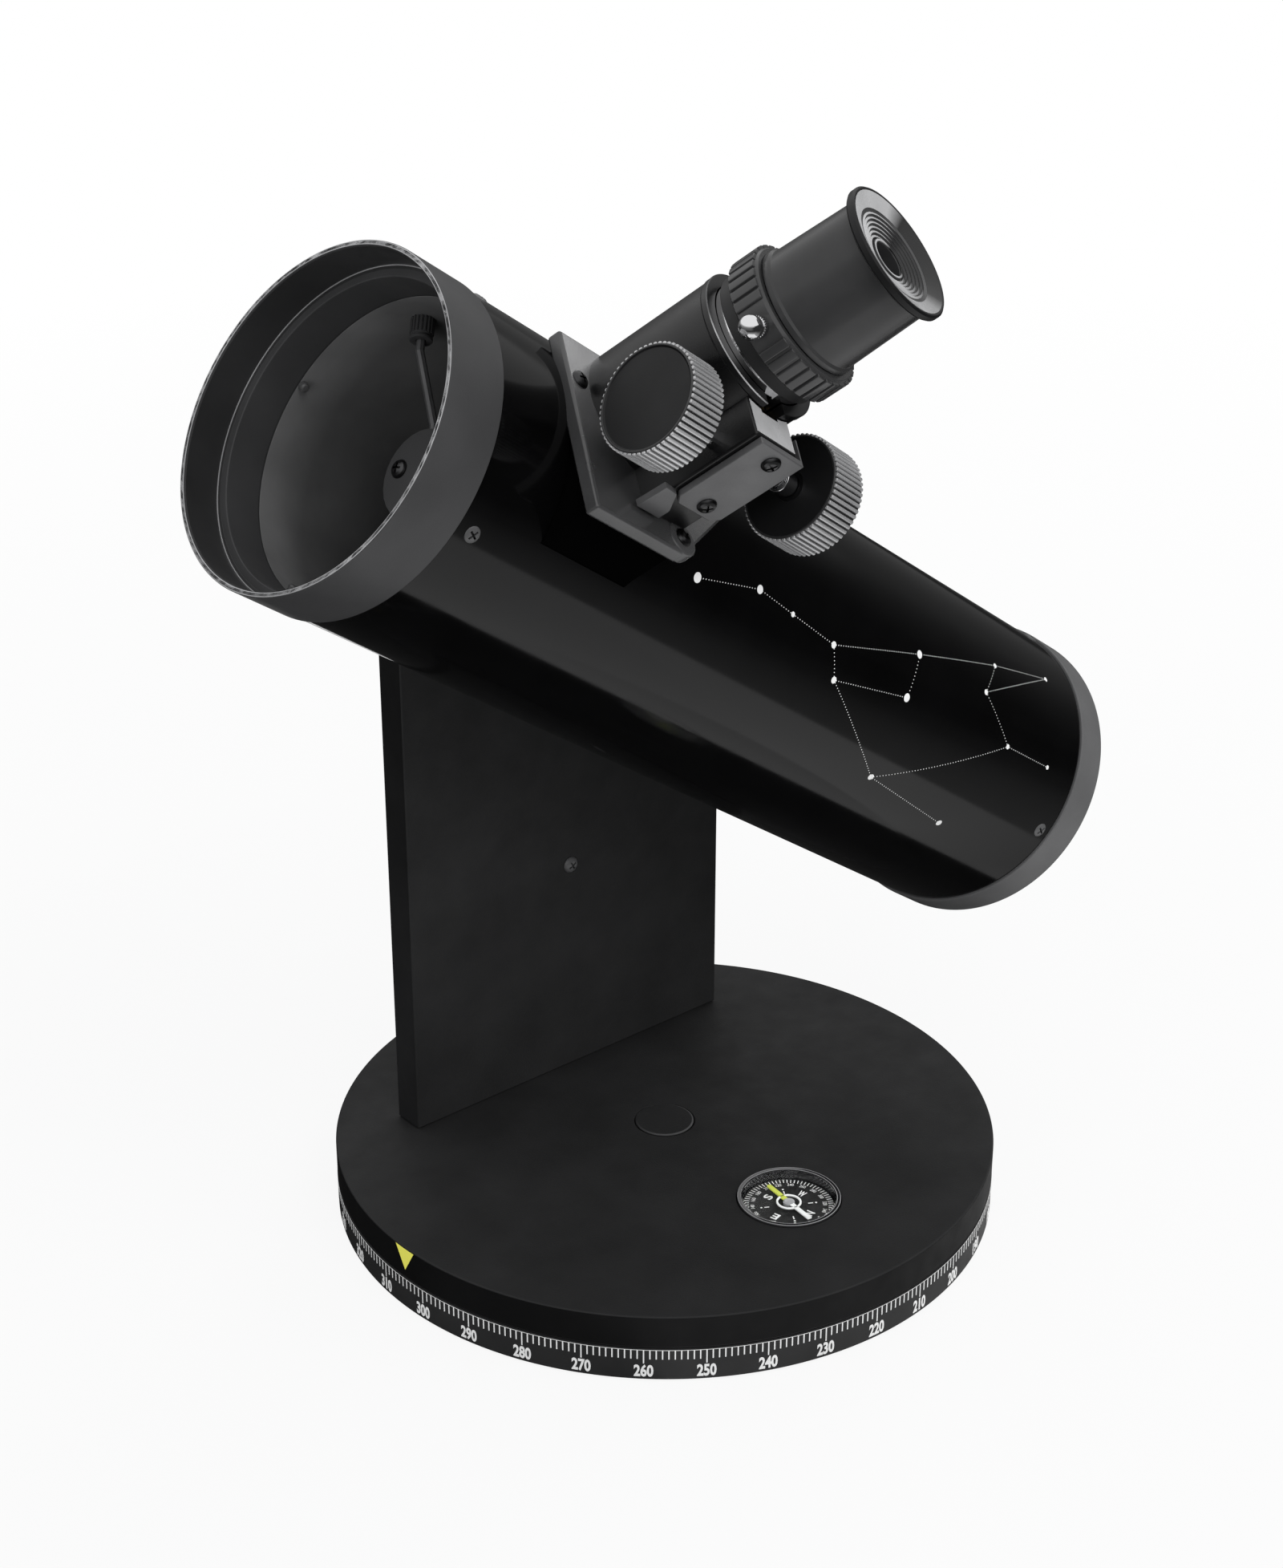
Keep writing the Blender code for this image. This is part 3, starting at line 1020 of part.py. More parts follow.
def build_telescope():
    ground = frame("base_frame")
    turntable = frame("azimuth_axis", ground)
    tube_axis = frame("altitude_axis", turntable, (0.0, TUBE_OFFSET, PIVOT_HEIGHT), (0.0, ALTITUDE, 0.0))
    focuser_axis = frame("focuser_axis", tube_axis, (FOCUSER_AXIS, 0.0, 0.0), (FOCUSER_ANGLE, 0.0, 0.0))
    draw_axis = frame("draw_tube_axis", focuser_axis)
    eyepiece_axis = frame("eyepiece_axis", draw_axis)
    pinion_axis = frame("pinion_axis", focuser_axis, (0.0, -PINION_OFFSET, PINION_HEIGHT))

    board = build_base(ground, turntable)
    build_compass(turntable, board)
    build_arm(turntable, board)
    tube = build_tube(tube_axis)
    tube_body = rod("tube_body", TUBE_RADIUS + GAP, -FRONT_REACH, REAR_REACH, None, tube_axis,
                    rotation=ALONG_TUBE, segments=TUBE_SEGMENTS)
    build_altitude_bearing(tube_axis, tube, tube_body)
    build_secondary(tube_axis, focuser_axis, tube)
    build_focuser(focuser_axis, tube, tube_body)
    build_pinion(pinion_axis)
    build_draw_tube(draw_axis)
    build_eyepiece(eyepiece_axis)


build_telescope()
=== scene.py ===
# %% [markdown]
# # Dressing a table-top reflector telescope
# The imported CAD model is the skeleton: every solid is in the right place and every joint works.
# This lesson puts the finished surfaces on it: smooth turned metal, cast paint, printed scales.
# Loading the frame first means that each new piece can be measured against the solid it covers.

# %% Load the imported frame
import json
import math

import bmesh
import bpy
from mathutils import Matrix, Vector

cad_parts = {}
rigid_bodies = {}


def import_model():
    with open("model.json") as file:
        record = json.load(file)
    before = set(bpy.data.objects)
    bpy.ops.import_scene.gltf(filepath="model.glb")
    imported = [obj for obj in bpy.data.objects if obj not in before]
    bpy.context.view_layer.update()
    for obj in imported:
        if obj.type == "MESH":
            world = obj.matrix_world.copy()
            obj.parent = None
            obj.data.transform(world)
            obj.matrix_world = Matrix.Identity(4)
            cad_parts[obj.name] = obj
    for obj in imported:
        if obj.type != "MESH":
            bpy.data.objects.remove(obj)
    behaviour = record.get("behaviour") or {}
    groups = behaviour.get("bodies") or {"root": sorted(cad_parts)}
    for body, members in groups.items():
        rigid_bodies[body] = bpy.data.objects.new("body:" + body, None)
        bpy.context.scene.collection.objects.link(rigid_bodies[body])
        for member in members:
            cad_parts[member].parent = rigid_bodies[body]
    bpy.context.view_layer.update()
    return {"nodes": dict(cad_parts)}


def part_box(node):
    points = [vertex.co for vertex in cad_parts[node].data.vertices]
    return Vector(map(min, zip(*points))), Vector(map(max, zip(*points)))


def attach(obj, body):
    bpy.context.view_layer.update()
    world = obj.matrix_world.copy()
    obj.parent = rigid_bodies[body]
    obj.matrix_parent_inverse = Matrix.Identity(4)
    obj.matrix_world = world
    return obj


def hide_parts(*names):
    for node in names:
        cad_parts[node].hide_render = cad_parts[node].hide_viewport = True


for old in list(bpy.data.objects):
    bpy.data.objects.remove(old)
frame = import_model()
scene = bpy.context.scene
nodes = frame["nodes"]

# %% [markdown]
# ## Working frames
# The tube is tilted on its bearing and the focuser sits part of the way round it.
# Each piece is drawn in millimetres in the frame where it is simple, then carried to its place by
# one matrix. That keeps every finished object at the origin, with its place in its mesh.

# %% Frames of the board, the tube and the focuser
MM = 0.001
PIVOT = Vector((0.0, -4.0, 208.1))
TUBE_TILT = 34.4
FOCUSER_ALONG = -80.1
FOCUSER_ROUND = 42.75


def turn(axis, degrees):
    return Matrix.Rotation(math.radians(degrees), 4, axis)


def move(x, y, z):
    return Matrix.Translation((x, y, z))


def moved(mesh, matrix):
    mesh.transform(matrix)
    return mesh


def box_of(name):
    """The low and high corners of a solid, in millimetres."""
    return [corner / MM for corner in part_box(name)]


BOARD = Matrix.Scale(MM, 4)
TUBE = BOARD @ Matrix.Translation(PIVOT) @ turn("Y", TUBE_TILT)
ALONG_TUBE = TUBE @ turn("Y", 90.0)
FOCUSER = TUBE @ move(FOCUSER_ALONG, 0.0, 0.0) @ turn("X", FOCUSER_ROUND)
focuser_axis = (FOCUSER.to_3x3() @ Vector((0.0, 0.0, 1.0))).normalized()
print("focuser axis points to", [round(v, 3) for v in focuser_axis])

# %% [markdown]
# ## Camera
# The photograph was taken from the open end of the tube, a little above it, with a short
# telephoto lens. The camera stands where the boards and the tube line up with the picture.

# %% Camera at the photograph's angle
CAMERA_PLACE = Vector((-0.5083, -0.5828, 0.5120))
CAMERA_AIM = Vector((-0.0059, 0.0050, 0.1481))


def aimed(thing, place, aim):
    """Put a camera or a lamp in its place and turn it to its aim."""
    scene.collection.objects.link(thing)
    thing.location = place
    thing.rotation_euler = (Vector(aim) - Vector(place)).to_track_quat("-Z", "Y").to_euler()


camera_data = bpy.data.cameras.new("photo_camera")
camera_data.sensor_width = 36.0
camera_data.lens = 61.91
camera = bpy.data.objects.new("photo_camera", camera_data)
aimed(camera, CAMERA_PLACE, CAMERA_AIM)
scene.camera = camera
print("camera is", round((CAMERA_AIM - CAMERA_PLACE).length, 3), "m from its aim")

# %% [markdown]
# ## Turned shapes
# Most of this telescope was made on a lathe or in a round mould, so one helper spins a profile
# about Z. A second helper rounds the corners of the profile first.
# Real edges are never perfectly sharp, and the small round is what catches the light.

# %% Helpers that spin and round a profile
STRAIGHT = math.radians(172.0)
CORNER_REACH = 0.45


def eased(profile, radius, closed=False, steps=4):
    """The profile with an arc in place of each corner; the ends of an open profile stay."""
    count = len(profile)
    rounded = []
    for index in range(count):
        here = Vector(profile[index])
        before = Vector(profile[index - 1]) - here
        after = Vector(profile[(index + 1) % count]) - here
        at_end = not closed and index in (0, count - 1)
        if at_end or before.angle(after) > STRAIGHT:
            rounded.append(tuple(here))
            continue
        half = before.angle(after) / 2.0
        reach = min(radius / math.tan(half), CORNER_REACH * before.length,
                    CORNER_REACH * after.length)
        middle = (before.normalized() + after.normalized()).normalized()
        centre = here + middle * (reach * math.tan(half) / math.sin(half))
        start = here + before.normalized() * reach - centre
        swing = start.angle_signed(here + after.normalized() * reach - centre)
        for step in range(steps + 1):
            rounded.append(tuple(centre + Matrix.Rotation(-swing * step / steps, 2) @ start))
    return rounded


def meshed(builder, name, outward=True):
    """The builder's shape as a mesh, with its faces turned outward."""
    if outward:
        bmesh.ops.recalc_face_normals(builder, faces=builder.faces)
    mesh = bpy.data.meshes.new(name)
    builder.to_mesh(mesh)
    builder.free()
    return mesh


def lathe(profile, steps, closed=False):
    """Spin (radius, height) points about Z. A closed profile makes a ring."""
    builder = bmesh.new()
    angles = [2.0 * math.pi * i / steps for i in range(steps)]
    rings = []
    for radius, height in profile:
        if radius < 1e-6:
            rings.append([builder.verts.new((0.0, 0.0, height))])
        else:
            rings.append([builder.verts.new((radius * math.cos(a), radius * math.sin(a), height))
                          for a in angles])
    pairs = list(zip(rings, rings[1:]))
    if closed:
        pairs.append((rings[-1], rings[0]))
    for one, two in pairs:
        for i in range(steps):
            j = (i + 1) % steps
            corners = [one[i % len(one)], one[j % len(one)], two[j % len(two)], two[i % len(two)]]
            corners = list(dict.fromkeys(corners))
            if len(corners) > 2:
                builder.faces.new(corners)
    return meshed(builder, "turned")


def turned(profile, ease, steps, arc=4):
    """A solid spun from an open profile that starts and ends on the axis."""
    return lathe(eased(profile, ease, False, arc), steps)


def ring(profile, ease, steps, arc=4):
    """A ring spun from a closed profile."""
    return lathe(eased(profile, ease, True, arc), steps, True)


def band(inner, outer, low, high):
    """The profile of a plain ring, or of a disc where inner is zero."""
    return [(inner, low), (outer, low), (outer, high), (inner, high)]


def rod(radius, low, high, steps=64):
    return lathe(band(0.0, radius, low, high), steps)


print("a washer has", len(ring(band(3, 6, 0, 1), 0.2, 32).polygons), "faces")

# %% [markdown]
# ## Cut and bevelled shapes
# Boards, the cast plate and the cover are flat shapes with a thickness.
# A prism with a Bevel modifier gives them soft edges, and a Boolean joins or cuts them.
# Each modifier is turned into plain mesh at once, so nothing is left to be evaluated later.

# %% Helpers that extrude, bevel and combine
BEVEL_ANGLE = math.radians(25.0)


def held(data):
    """A helper object that holds some data in the scene."""
    holder = bpy.data.objects.new("work", data)
    scene.collection.objects.link(holder)
    return holder


def kept(holder):
    """The evaluated mesh of a helper object, which is then removed."""
    bpy.context.view_layer.update()
    graph = bpy.context.evaluated_depsgraph_get()
    mesh = bpy.data.meshes.new_from_object(holder.evaluated_get(graph))
    bpy.data.objects.remove(holder)
    return mesh


def prism(corners, low, high):
    """A flat outline in X and Y, extruded from low to high."""
    builder = bmesh.new()
    bottom = [builder.verts.new((x, y, low)) for x, y in corners]
    top = [builder.verts.new((x, y, high)) for x, y in corners]
    builder.faces.new(bottom)
    builder.faces.new(top)
    for i in range(len(corners)):
        j = (i + 1) % len(corners)
        builder.faces.new((bottom[i], bottom[j], top[j], top[i]))
    return meshed(builder, "prism")


def block(low, high):
    return prism(band(low[0], high[0], low[1], high[1]), low[2], high[2])


def bevelled(mesh, width, segments=3):
    holder = held(mesh)
    bevel = holder.modifiers.new("soft_edge", "BEVEL")
    bevel.width = width
    bevel.segments = segments
    bevel.limit_method = "ANGLE"
    bevel.angle_limit = BEVEL_ANGLE
    return kept(holder)


def combined(operation, mesh, *others):
    """A mesh joined with or cut by others, one after the other."""
    for other in others:
        tool = held(other)
        holder = held(mesh)
        boolean = holder.modifiers.new("combine", "BOOLEAN")
        boolean.object = tool
        boolean.operation = operation
        boolean.solver = "EXACT"
        mesh = kept(holder)
        bpy.data.objects.remove(tool)
    return mesh


def joined(meshes):
    builder = bmesh.new()
    for mesh in meshes:
        builder.from_mesh(mesh)
    return meshed(builder, "joined", outward=False)


print("a bevelled block has", len(bevelled(block((0, 0, 0), (9, 5, 3)), 0.4).polygons), "faces")

# %% [markdown]
# ## Finishing a piece
# A finished piece needs four things: even shading, a material, a body to ride on and the solid
# it stands for. Weighted normals keep large faces flat right up to their small rounded edges.

# %% Helpers that put a piece on its body
SHARP_ANGLE = math.radians(30.0)


def add_piece(name, mesh, place, material, body, replaced=()):
    mesh.transform(place)
    mesh.shade_smooth()
    mesh.set_sharp_from_angle(angle=SHARP_ANGLE)
    holder = held(mesh)
    even = holder.modifiers.new("even_normals", "WEIGHTED_NORMAL")
    even.keep_sharp = True
    mesh = kept(holder)
    mesh.name = name
    mesh.materials.clear()
    mesh.materials.append(material)
    piece = bpy.data.objects.new(name, mesh)
    scene.collection.objects.link(piece)
    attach(piece, body)
    if replaced:
        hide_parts(*replaced)
    print(name, "rides", body, "with", len(mesh.polygons), "faces")
    return piece


def on_body(body, place, usual_slot):
    """A shorter add_piece for the pieces of one body that are drawn in one frame."""
    def add(name, mesh, material, *replaced, slot=usual_slot):
        return add_piece(name, mesh, place, material, body, replaced)
    return add


# %% [markdown]
# ## Finishes
# A painted or moulded surface is never one flat colour.
# Each finish has a slow drift in its colour, a roughness that varies, and a fine grain in its bump.
# Object coordinates drive all three, so the pattern stays on the piece when it moves.
# What is the same all over, such as the metal or the coat, is set on the shader itself.
# Two more helpers paint light and shade into a finish's colour: they scale it along a direction, or
# by the angle round an axis.

# %% Helpers that add nodes
def add_node(tree, kind, links=(), values=(), **settings):
    """A node with its settings, its typed-in values and its incoming links."""
    node = tree.nodes.new(kind)
    for key, value in settings.items():
        setattr(node, key, value)
    for socket, value in dict(values).items():
        node.inputs[socket].default_value = value
    for socket, source in dict(links).items():
        tree.links.new(source, node.inputs[socket])
    return node


def object_place(tree):
    return add_node(tree, "ShaderNodeTexCoord").outputs["Object"]


def add_ramp(tree, source, stops):
    """A ramp of greys at the positions given."""
    ramp = add_node(tree, "ShaderNodeValToRGB", {"Fac": source})
    elements = ramp.color_ramp.elements
    for position, grey in stops[2:]:
        elements.new(position)
    for element, (position, grey) in zip(elements, stops):
        element.position = position
        element.color = (grey, grey, grey, 1.0)
    return ramp.outputs["Color"]


# %% Helpers that mix a finish
COAT_ROUGHNESS = 0.06
NOISE_LOW, NOISE_HIGH = 0.3, 0.7
BUMP_DEPTH = 0.0001


def finish(name, colour, rough, grain=1500.0, bump=0.15, drift=0.2, patch=40.0, metallic=0.0,
           specular=0.5, coat=0.0, speck=0.0):
    material = bpy.data.materials.new(name)
    material.use_nodes = True
    tree = material.node_tree
    shader = tree.nodes["Principled BSDF"]
    for label, value in (("Metallic", metallic), ("Specular IOR Level", specular),
                         ("Coat Weight", coat), ("Coat Roughness", COAT_ROUGHNESS)):
        shader.inputs[label].default_value = value
    place = object_place(tree)

    def noise(scale, detail):
        return add_node(tree, "ShaderNodeTexNoise", {"Vector": place},
                        {"Scale": scale, "Detail": detail}).outputs["Fac"]

    def spread(source, low, high):
        return add_node(tree, "ShaderNodeMapRange", {"Value": source},
                        {"From Min": NOISE_LOW, "From Max": NOISE_HIGH,
                         "To Min": low, "To Max": high}).outputs["Result"]

    grainy = noise(grain, 2.0)
    cloudy = spread(noise(patch, 4.0), -speck / 2.0, 1.0 - speck / 2.0)
    blend = add_node(tree, "ShaderNodeMath", {0: grainy, 2: cloudy}, {1: speck},
                     operation="MULTIPLY_ADD")
    tint = add_node(tree, "ShaderNodeMix", {"Factor": blend.outputs[0]},
                    {"A": (*[c * (1.0 - drift) for c in colour], 1.0),
                     "B": (*[c * (1.0 + drift) for c in colour], 1.0)}, data_type="RGBA")
    relief = add_node(tree, "ShaderNodeBump", {"Height": grainy},
                      {"Strength": bump, "Distance": BUMP_DEPTH})
    for label, source in (("Base Color", tint.outputs["Result"]),
                          ("Roughness", spread(noise(patch * 3.0, 3.0), *rough)),
                          ("Normal", relief.outputs["Normal"])):
        tree.links.new(source, shader.inputs[label])
    return material


def scale_colour(material, share):
    """Multiply a finish's colour by the share that a node of its tree gives."""
    tree = material.node_tree
    colour = tree.nodes["Principled BSDF"].inputs["Base Color"]
    scaled = add_node(tree, "ShaderNodeVectorMath",
                      {0: colour.links[0].from_socket, "Scale": share}, operation="SCALE")
    tree.links.new(scaled.outputs["Vector"], colour)


def lightened(material, way, start, end, gain):
    """Raise a finish's colour by gain at the start of a direction, back to plain at its end:
    painted light.
    """
    tree = material.node_tree
    across = add_node(tree, "ShaderNodeVectorMath", {0: object_place(tree)}, {1: way},
                      operation="DOT_PRODUCT")
    share = add_node(tree, "ShaderNodeMapRange", {"Value": across.outputs["Value"]},
                     {"From Min": start, "From Max": end, "To Min": gain, "To Max": 1.0})
    scale_colour(material, share.outputs["Result"])


def sectored(material, place, stops):
    """Scale a finish's colour by the angle round a frame's Z: a painted highlight, bright in some
    sectors and dark in others.
    """
    tree = material.node_tree
    local = add_node(tree, "ShaderNodeMapping", {"Vector": object_place(tree)},
                     {"Location": place.translation,
                      "Rotation": place.to_3x3().normalized().to_euler()}, vector_type="TEXTURE")
    radial = add_node(tree, "ShaderNodeTexGradient", {"Vector": local.outputs["Vector"]},
                      gradient_type="RADIAL")
    spots = [(degrees / 360.0 + 0.5, share) for degrees, share in stops]
    scale_colour(material, add_ramp(tree, radial.outputs["Fac"], spots))


# %% Finishes of the boards and the tube
EDGE_LOOK = {"grain": 1800.0, "bump": 0.1}
board_black = finish("board_black", (0.0215, 0.0215, 0.0218), (0.50, 0.62), grain=2200.0, bump=0.45,
                     drift=0.16, specular=0.15, speck=0.8)
edge_band, arm_band = [
    finish(name, (0.0054, 0.0054, 0.0056), (0.58, 0.68), specular=0.12, **EDGE_LOOK)
    for name in ("edge_band", "arm_band")]
# Painted light: the arm's edge bands get up to 3.2 times their colour towards the bottom.
lightened(arm_band, (0.0, 0.0, 1.0), 0.03, 0.17, 3.2)
strip_black = finish("strip_black", (0.023, 0.023, 0.0232), (0.55, 0.65), specular=0.2, **EDGE_LOOK)
# Painted highlight: the pivot cap's edge ring is lighter than the board, and brighter on some sides
# round the middle.
cap_gleam = finish("cap_gleam", (0.085, 0.085, 0.086), (0.45, 0.55), specular=0.3, **EDGE_LOOK)
sectored(cap_gleam, BOARD, [(-180.0, 0.5), (-131.0, 0.9), (-60.0, 1.0), (-20.0, 0.6), (40.0, 0.25),
                            (140.0, 0.25), (180.0, 0.5)])
tube_paint = finish("tube_paint", (0.0016, 0.0016, 0.0017), (0.09, 0.12), grain=700.0, bump=0.012,
                    drift=0.3, specular=0.24)
tube_inside = finish("tube_inside", (0.108, 0.108, 0.108), (0.62, 0.75), grain=1600.0, bump=0.3,
                     specular=0.15)
tube_way = (TUBE.to_3x3() @ Vector((1.0, 0.0, 0.0))).normalized()
tube_zero = tube_way.dot(PIVOT) * MM
# Painted light: the inside is up to 1.55 times lighter near the mouth and plain deeper in.
lightened(tube_inside, tube_way, tube_zero - 0.126, tube_zero - 0.114, 1.55)
MOULDED = {"grain": 2600.0, "bump": 0.22, "drift": 0.12, "speck": 0.5}
ring_plastic = finish("ring_plastic", (0.052, 0.052, 0.053), (0.38, 0.46), specular=0.16, **MOULDED)
# Painted light: the rear cell is a lighter copy of the ring plastic.
cell_lit_plastic = finish("cell_lit_plastic", (0.115, 0.115, 0.116), (0.38, 0.46), specular=0.3, **MOULDED)
ring_lining = finish("ring_lining", (0.029, 0.029, 0.0295), (0.28, 0.38), grain=2200.0,
                     specular=0.35)
# Painted highlight: a light metallic grey for the bright lines along the front ring's rim and step.
rim_highlight_grey = finish("rim_highlight_edge", (0.42, 0.42, 0.425), (0.28, 0.36), grain=1600.0, bump=0.05,
                   metallic=0.3)
print(len(bpy.data.materials), "finishes so far")

# %% Finishes of the focuser and the eyepiece
# Painted light: the plate's paint is a lighter copy of the barrel's near-black paint.
cast_paint_lit = finish("cast_paint_lit", (0.052, 0.052, 0.053), (0.20, 0.28), grain=1900.0, bump=0.2,
                    drift=0.25, specular=0.7, speck=0.4)
# Painted highlight: a light metallic skin for the plate's top, brighter towards one corner.
plate_sheen = finish("plate_sheen", (0.64, 0.64, 0.646), (0.20, 0.28), grain=1900.0, bump=0.16,
                     metallic=0.88, speck=0.4)
sectored(plate_sheen, FOCUSER, [(-180.0, 0.9), (-150.0, 0.7), (-120.0, 0.52), (-60.0, 0.52),
                                (0.0, 0.6), (90.0, 0.75), (150.0, 1.0), (180.0, 0.9)])
# Painted highlight: a light grey skin for the pinion block's end face.
block_sheen = finish("block_sheen", (0.50, 0.50, 0.504), (0.22, 0.30), grain=1900.0, bump=0.16,
                     metallic=0.2, speck=0.4)
# Painted highlight: a light line on the barrel's lip, bright on one side only.
barrel_lip_highlight = finish("barrel_lip_highlight", (0.60, 0.60, 0.605), (0.28, 0.36), grain=1600.0, bump=0.05,
                   metallic=0.3, specular=0.2)
sectored(barrel_lip_highlight, FOCUSER, [(-180.0, 0.25), (-165.0, 1.0), (-112.0, 1.0), (-95.0, 0.02),
                              (120.0, 0.02), (180.0, 0.25)])
barrel_paint = finish("barrel_paint", (0.0065, 0.0065, 0.0068), (0.26, 0.34), grain=2200.0,
                      bump=0.22, specular=0.42)
# Painted shade: the saddle's black paint is darkened to near-black with no sheen, under the plate.
saddle_black_and_shade = finish("saddle_black_and_shade", (0.0012, 0.0012, 0.0012), (0.5, 0.6), bump=0.1, specular=0.0)
cover_metal = finish("cover_metal", (0.112, 0.112, 0.114), (0.34, 0.44), grain=1400.0,
                     metallic=0.35, speck=0.4)
knob_plastic = finish("knob_plastic", (0.008, 0.008, 0.0084), (0.38, 0.46), grain=2400.0, bump=0.16,
                      specular=0.25)
knob_edge = finish("knob_edge", (0.022, 0.022, 0.0225), (0.26, 0.34), grain=2000.0, bump=0.1)
knob_rim = finish("knob_rim", (0.52, 0.52, 0.525), (0.22, 0.3), grain=1400.0, bump=0.1,
                  metallic=0.5, specular=0.7)
grip_plastic = finish("grip_plastic", (0.036, 0.036, 0.0365), (0.16, 0.22), grain=900.0, bump=0.02)
collar_black = finish("collar_black", (0.020, 0.020, 0.0204), (0.36, 0.44), specular=0.25,
                      **EDGE_LOOK)
gloss_plastic = finish("gloss_plastic", (0.034, 0.034, 0.0345), (0.18, 0.25), grain=900.0,
                       bump=0.012, specular=0.32)
# Painted highlight: light grey for the eye dish's crests, bright in some sectors and near-black in
# others.
dish_highlight = finish("dish_highlight", (0.46, 0.46, 0.462), (0.22, 0.30), grain=900.0, bump=0.012,
                      specular=0.25)
sectored(dish_highlight, FOCUSER, [(-180.0, 1.0), (-160.0, 0.9), (-145.0, 0.45), (-120.0, 0.75),
                                 (-75.0, 1.0), (-45.0, 0.55), (-25.0, 0.02), (62.0, 0.02),
                                 (82.0, 0.8), (180.0, 1.0)])
print(len(bpy.data.materials), "finishes so far")

# %% Finishes of small metal, ink and glass
chrome = finish("bright_chrome", (0.74, 0.74, 0.75), (0.06, 0.12), grain=600.0, bump=0.02,
                drift=0.04, metallic=1.0)
screw_paint = finish("screw_paint", (0.085, 0.085, 0.086), (0.3, 0.4), grain=1800.0, bump=0.08,
                     drift=0.25)
nickel = finish("dark_nickel", (0.065, 0.065, 0.067), (0.24, 0.34), grain=1800.0, bump=0.08,
                drift=0.25, metallic=1.0)
brass = finish("insert_brass", (0.52, 0.38, 0.16), (0.26, 0.36), bump=0.1, metallic=1.0)
nylon = finish("washer_nylon", (0.66, 0.66, 0.63), (0.42, 0.5), grain=1200.0, bump=0.1, drift=0.06)
mirror_coat = finish("mirror_coat", (0.86, 0.87, 0.88), (0.015, 0.03), grain=300.0, bump=0.002,
                     drift=0.02, metallic=1.0)
INK_LOOK = {"grain": 1600.0, "bump": 0.1, "drift": 0.06}
white_ink = finish("white_ink", (0.86, 0.86, 0.85), (0.42, 0.52), **INK_LOOK)
yellow_ink = finish("yellow_ink", (0.97, 0.93, 0.13), (0.40, 0.5), **INK_LOOK)
needle_yellow = finish("needle_yellow", (0.56, 0.62, 0.08), (0.35, 0.45), grain=1600.0, bump=0.08,
                       drift=0.08)
dial_black = finish("dial_black", (0.010, 0.010, 0.010), (0.45, 0.55), grain=1800.0)
smoky_plastic = finish("smoky_plastic", (0.022, 0.022, 0.023), (0.06, 0.1), grain=700.0, bump=0.02,
                       coat=0.5)
# Painted highlight on the compass lip's thin lines; the needle's hub has this grey as its own
# colour.
lip_highlight_and_hub_grey = finish("lip_highlight_and_hub_grey", (0.30, 0.30, 0.305), (0.10, 0.16), grain=700.0, bump=0.02,
                     drift=0.3, coat=0.6)
GLASS_LOOK = {"grain": 300.0, "bump": 0.004, "drift": 0.02}
clear_glass = finish("clear_glass", (0.93, 0.95, 0.95), (0.0, 0.02), **GLASS_LOOK)
thin_window = finish("thin_window", (0.96, 0.97, 0.97), (0.0, 0.02), **GLASS_LOOK)
for pane, bending in ((clear_glass, 1.46), (thin_window, 1.06)):
    pane_inputs = pane.node_tree.nodes["Principled BSDF"].inputs
    pane_inputs["Transmission Weight"].default_value = 1.0
    pane_inputs["IOR"].default_value = bending
print(len(bpy.data.materials), "finishes in all")

# %% [markdown]
# ## Base boards
# Two round boards of black melamine turn on each other: the lower one is printed with degrees,
# the upper one carries the arm.
# They are spun from a profile with a bolt hole and a tiny round on each edge.
# The pocket for the compass is off the axis, so it is cut afterwards with a Boolean.

# %% Ground board and turntable
BASE_RADIUS = 110.0
BOARD_TOP = 11.4
TABLE_LOW = 11.7
TABLE_TOP = 23.1
EDGE_ROUND = 0.5
BOLT_HOLE = 4.3
BOARD_STEPS = 256
FIT = 0.3
INK = 0.06
COMPASS_PLACE = move(0.0, -61.0, 0.0)
base_piece = on_body("base", BOARD, "black_board")
table_piece = on_body("turntable", BOARD, "black_board")
insert_low, insert_high = box_of("azimuth_insert")
washer_low, washer_high = box_of("azimuth_washer")
compass_low, compass_high = box_of("compass_housing")
cap_low, cap_high = box_of("pivot_cap")
insert_hole, insert_floor = insert_high.x + FIT, insert_low.z - FIT
ground = turned([(0.0, 0.0), (BASE_RADIUS, 0.0), (BASE_RADIUS, BOARD_TOP), (insert_hole, BOARD_TOP),
                 (insert_hole, insert_floor), (0.0, insert_floor)], EDGE_ROUND, BOARD_STEPS)
base_piece("ground_board_face", ground, board_black, "ground_board")
washer_hole, washer_floor = washer_high.x + FIT, washer_low.z - FIT
cap_hole, cap_floor = cap_high.x + FIT, cap_low.z - FIT
table = ring([(BOLT_HOLE, TABLE_LOW), (BASE_RADIUS, TABLE_LOW), (BASE_RADIUS, TABLE_TOP),
              (cap_hole, TABLE_TOP), (cap_hole, cap_floor), (washer_hole, cap_floor),
              (washer_hole, washer_floor), (BOLT_HOLE, washer_floor)], EDGE_ROUND, BOARD_STEPS)
pocket = moved(rod(compass_high.x + FIT, compass_low.z - FIT, TABLE_TOP + 5.0, 96), COMPASS_PLACE)
table = combined("DIFFERENCE", table, pocket)
table_piece("turntable_face", table, board_black, "turntable_board")
table_edge = band(BASE_RADIUS - 0.4, BASE_RADIUS + INK, TABLE_LOW + 0.5, TABLE_TOP - 0.45)
table_piece("turntable_edge_band", lathe(table_edge, BOARD_STEPS, True), edge_band)

# %% [markdown]
# ## Pivot cap
# A shallow plastic plug hides the bolt head at the middle of the turntable.
# Its rounded edge shows as a faint light ring on the board, so a thin lighter ring paints that
# highlight, brighter on some sides.

# %% Pivot cap
cap_out, cap_top = cap_high.x, cap_high.z
cap = turned(band(0.0, cap_out, cap_top, cap_low.z), 0.45, 96)
table_piece("pivot_cap_face", cap, board_black, "pivot_cap", slot="black_plastic")
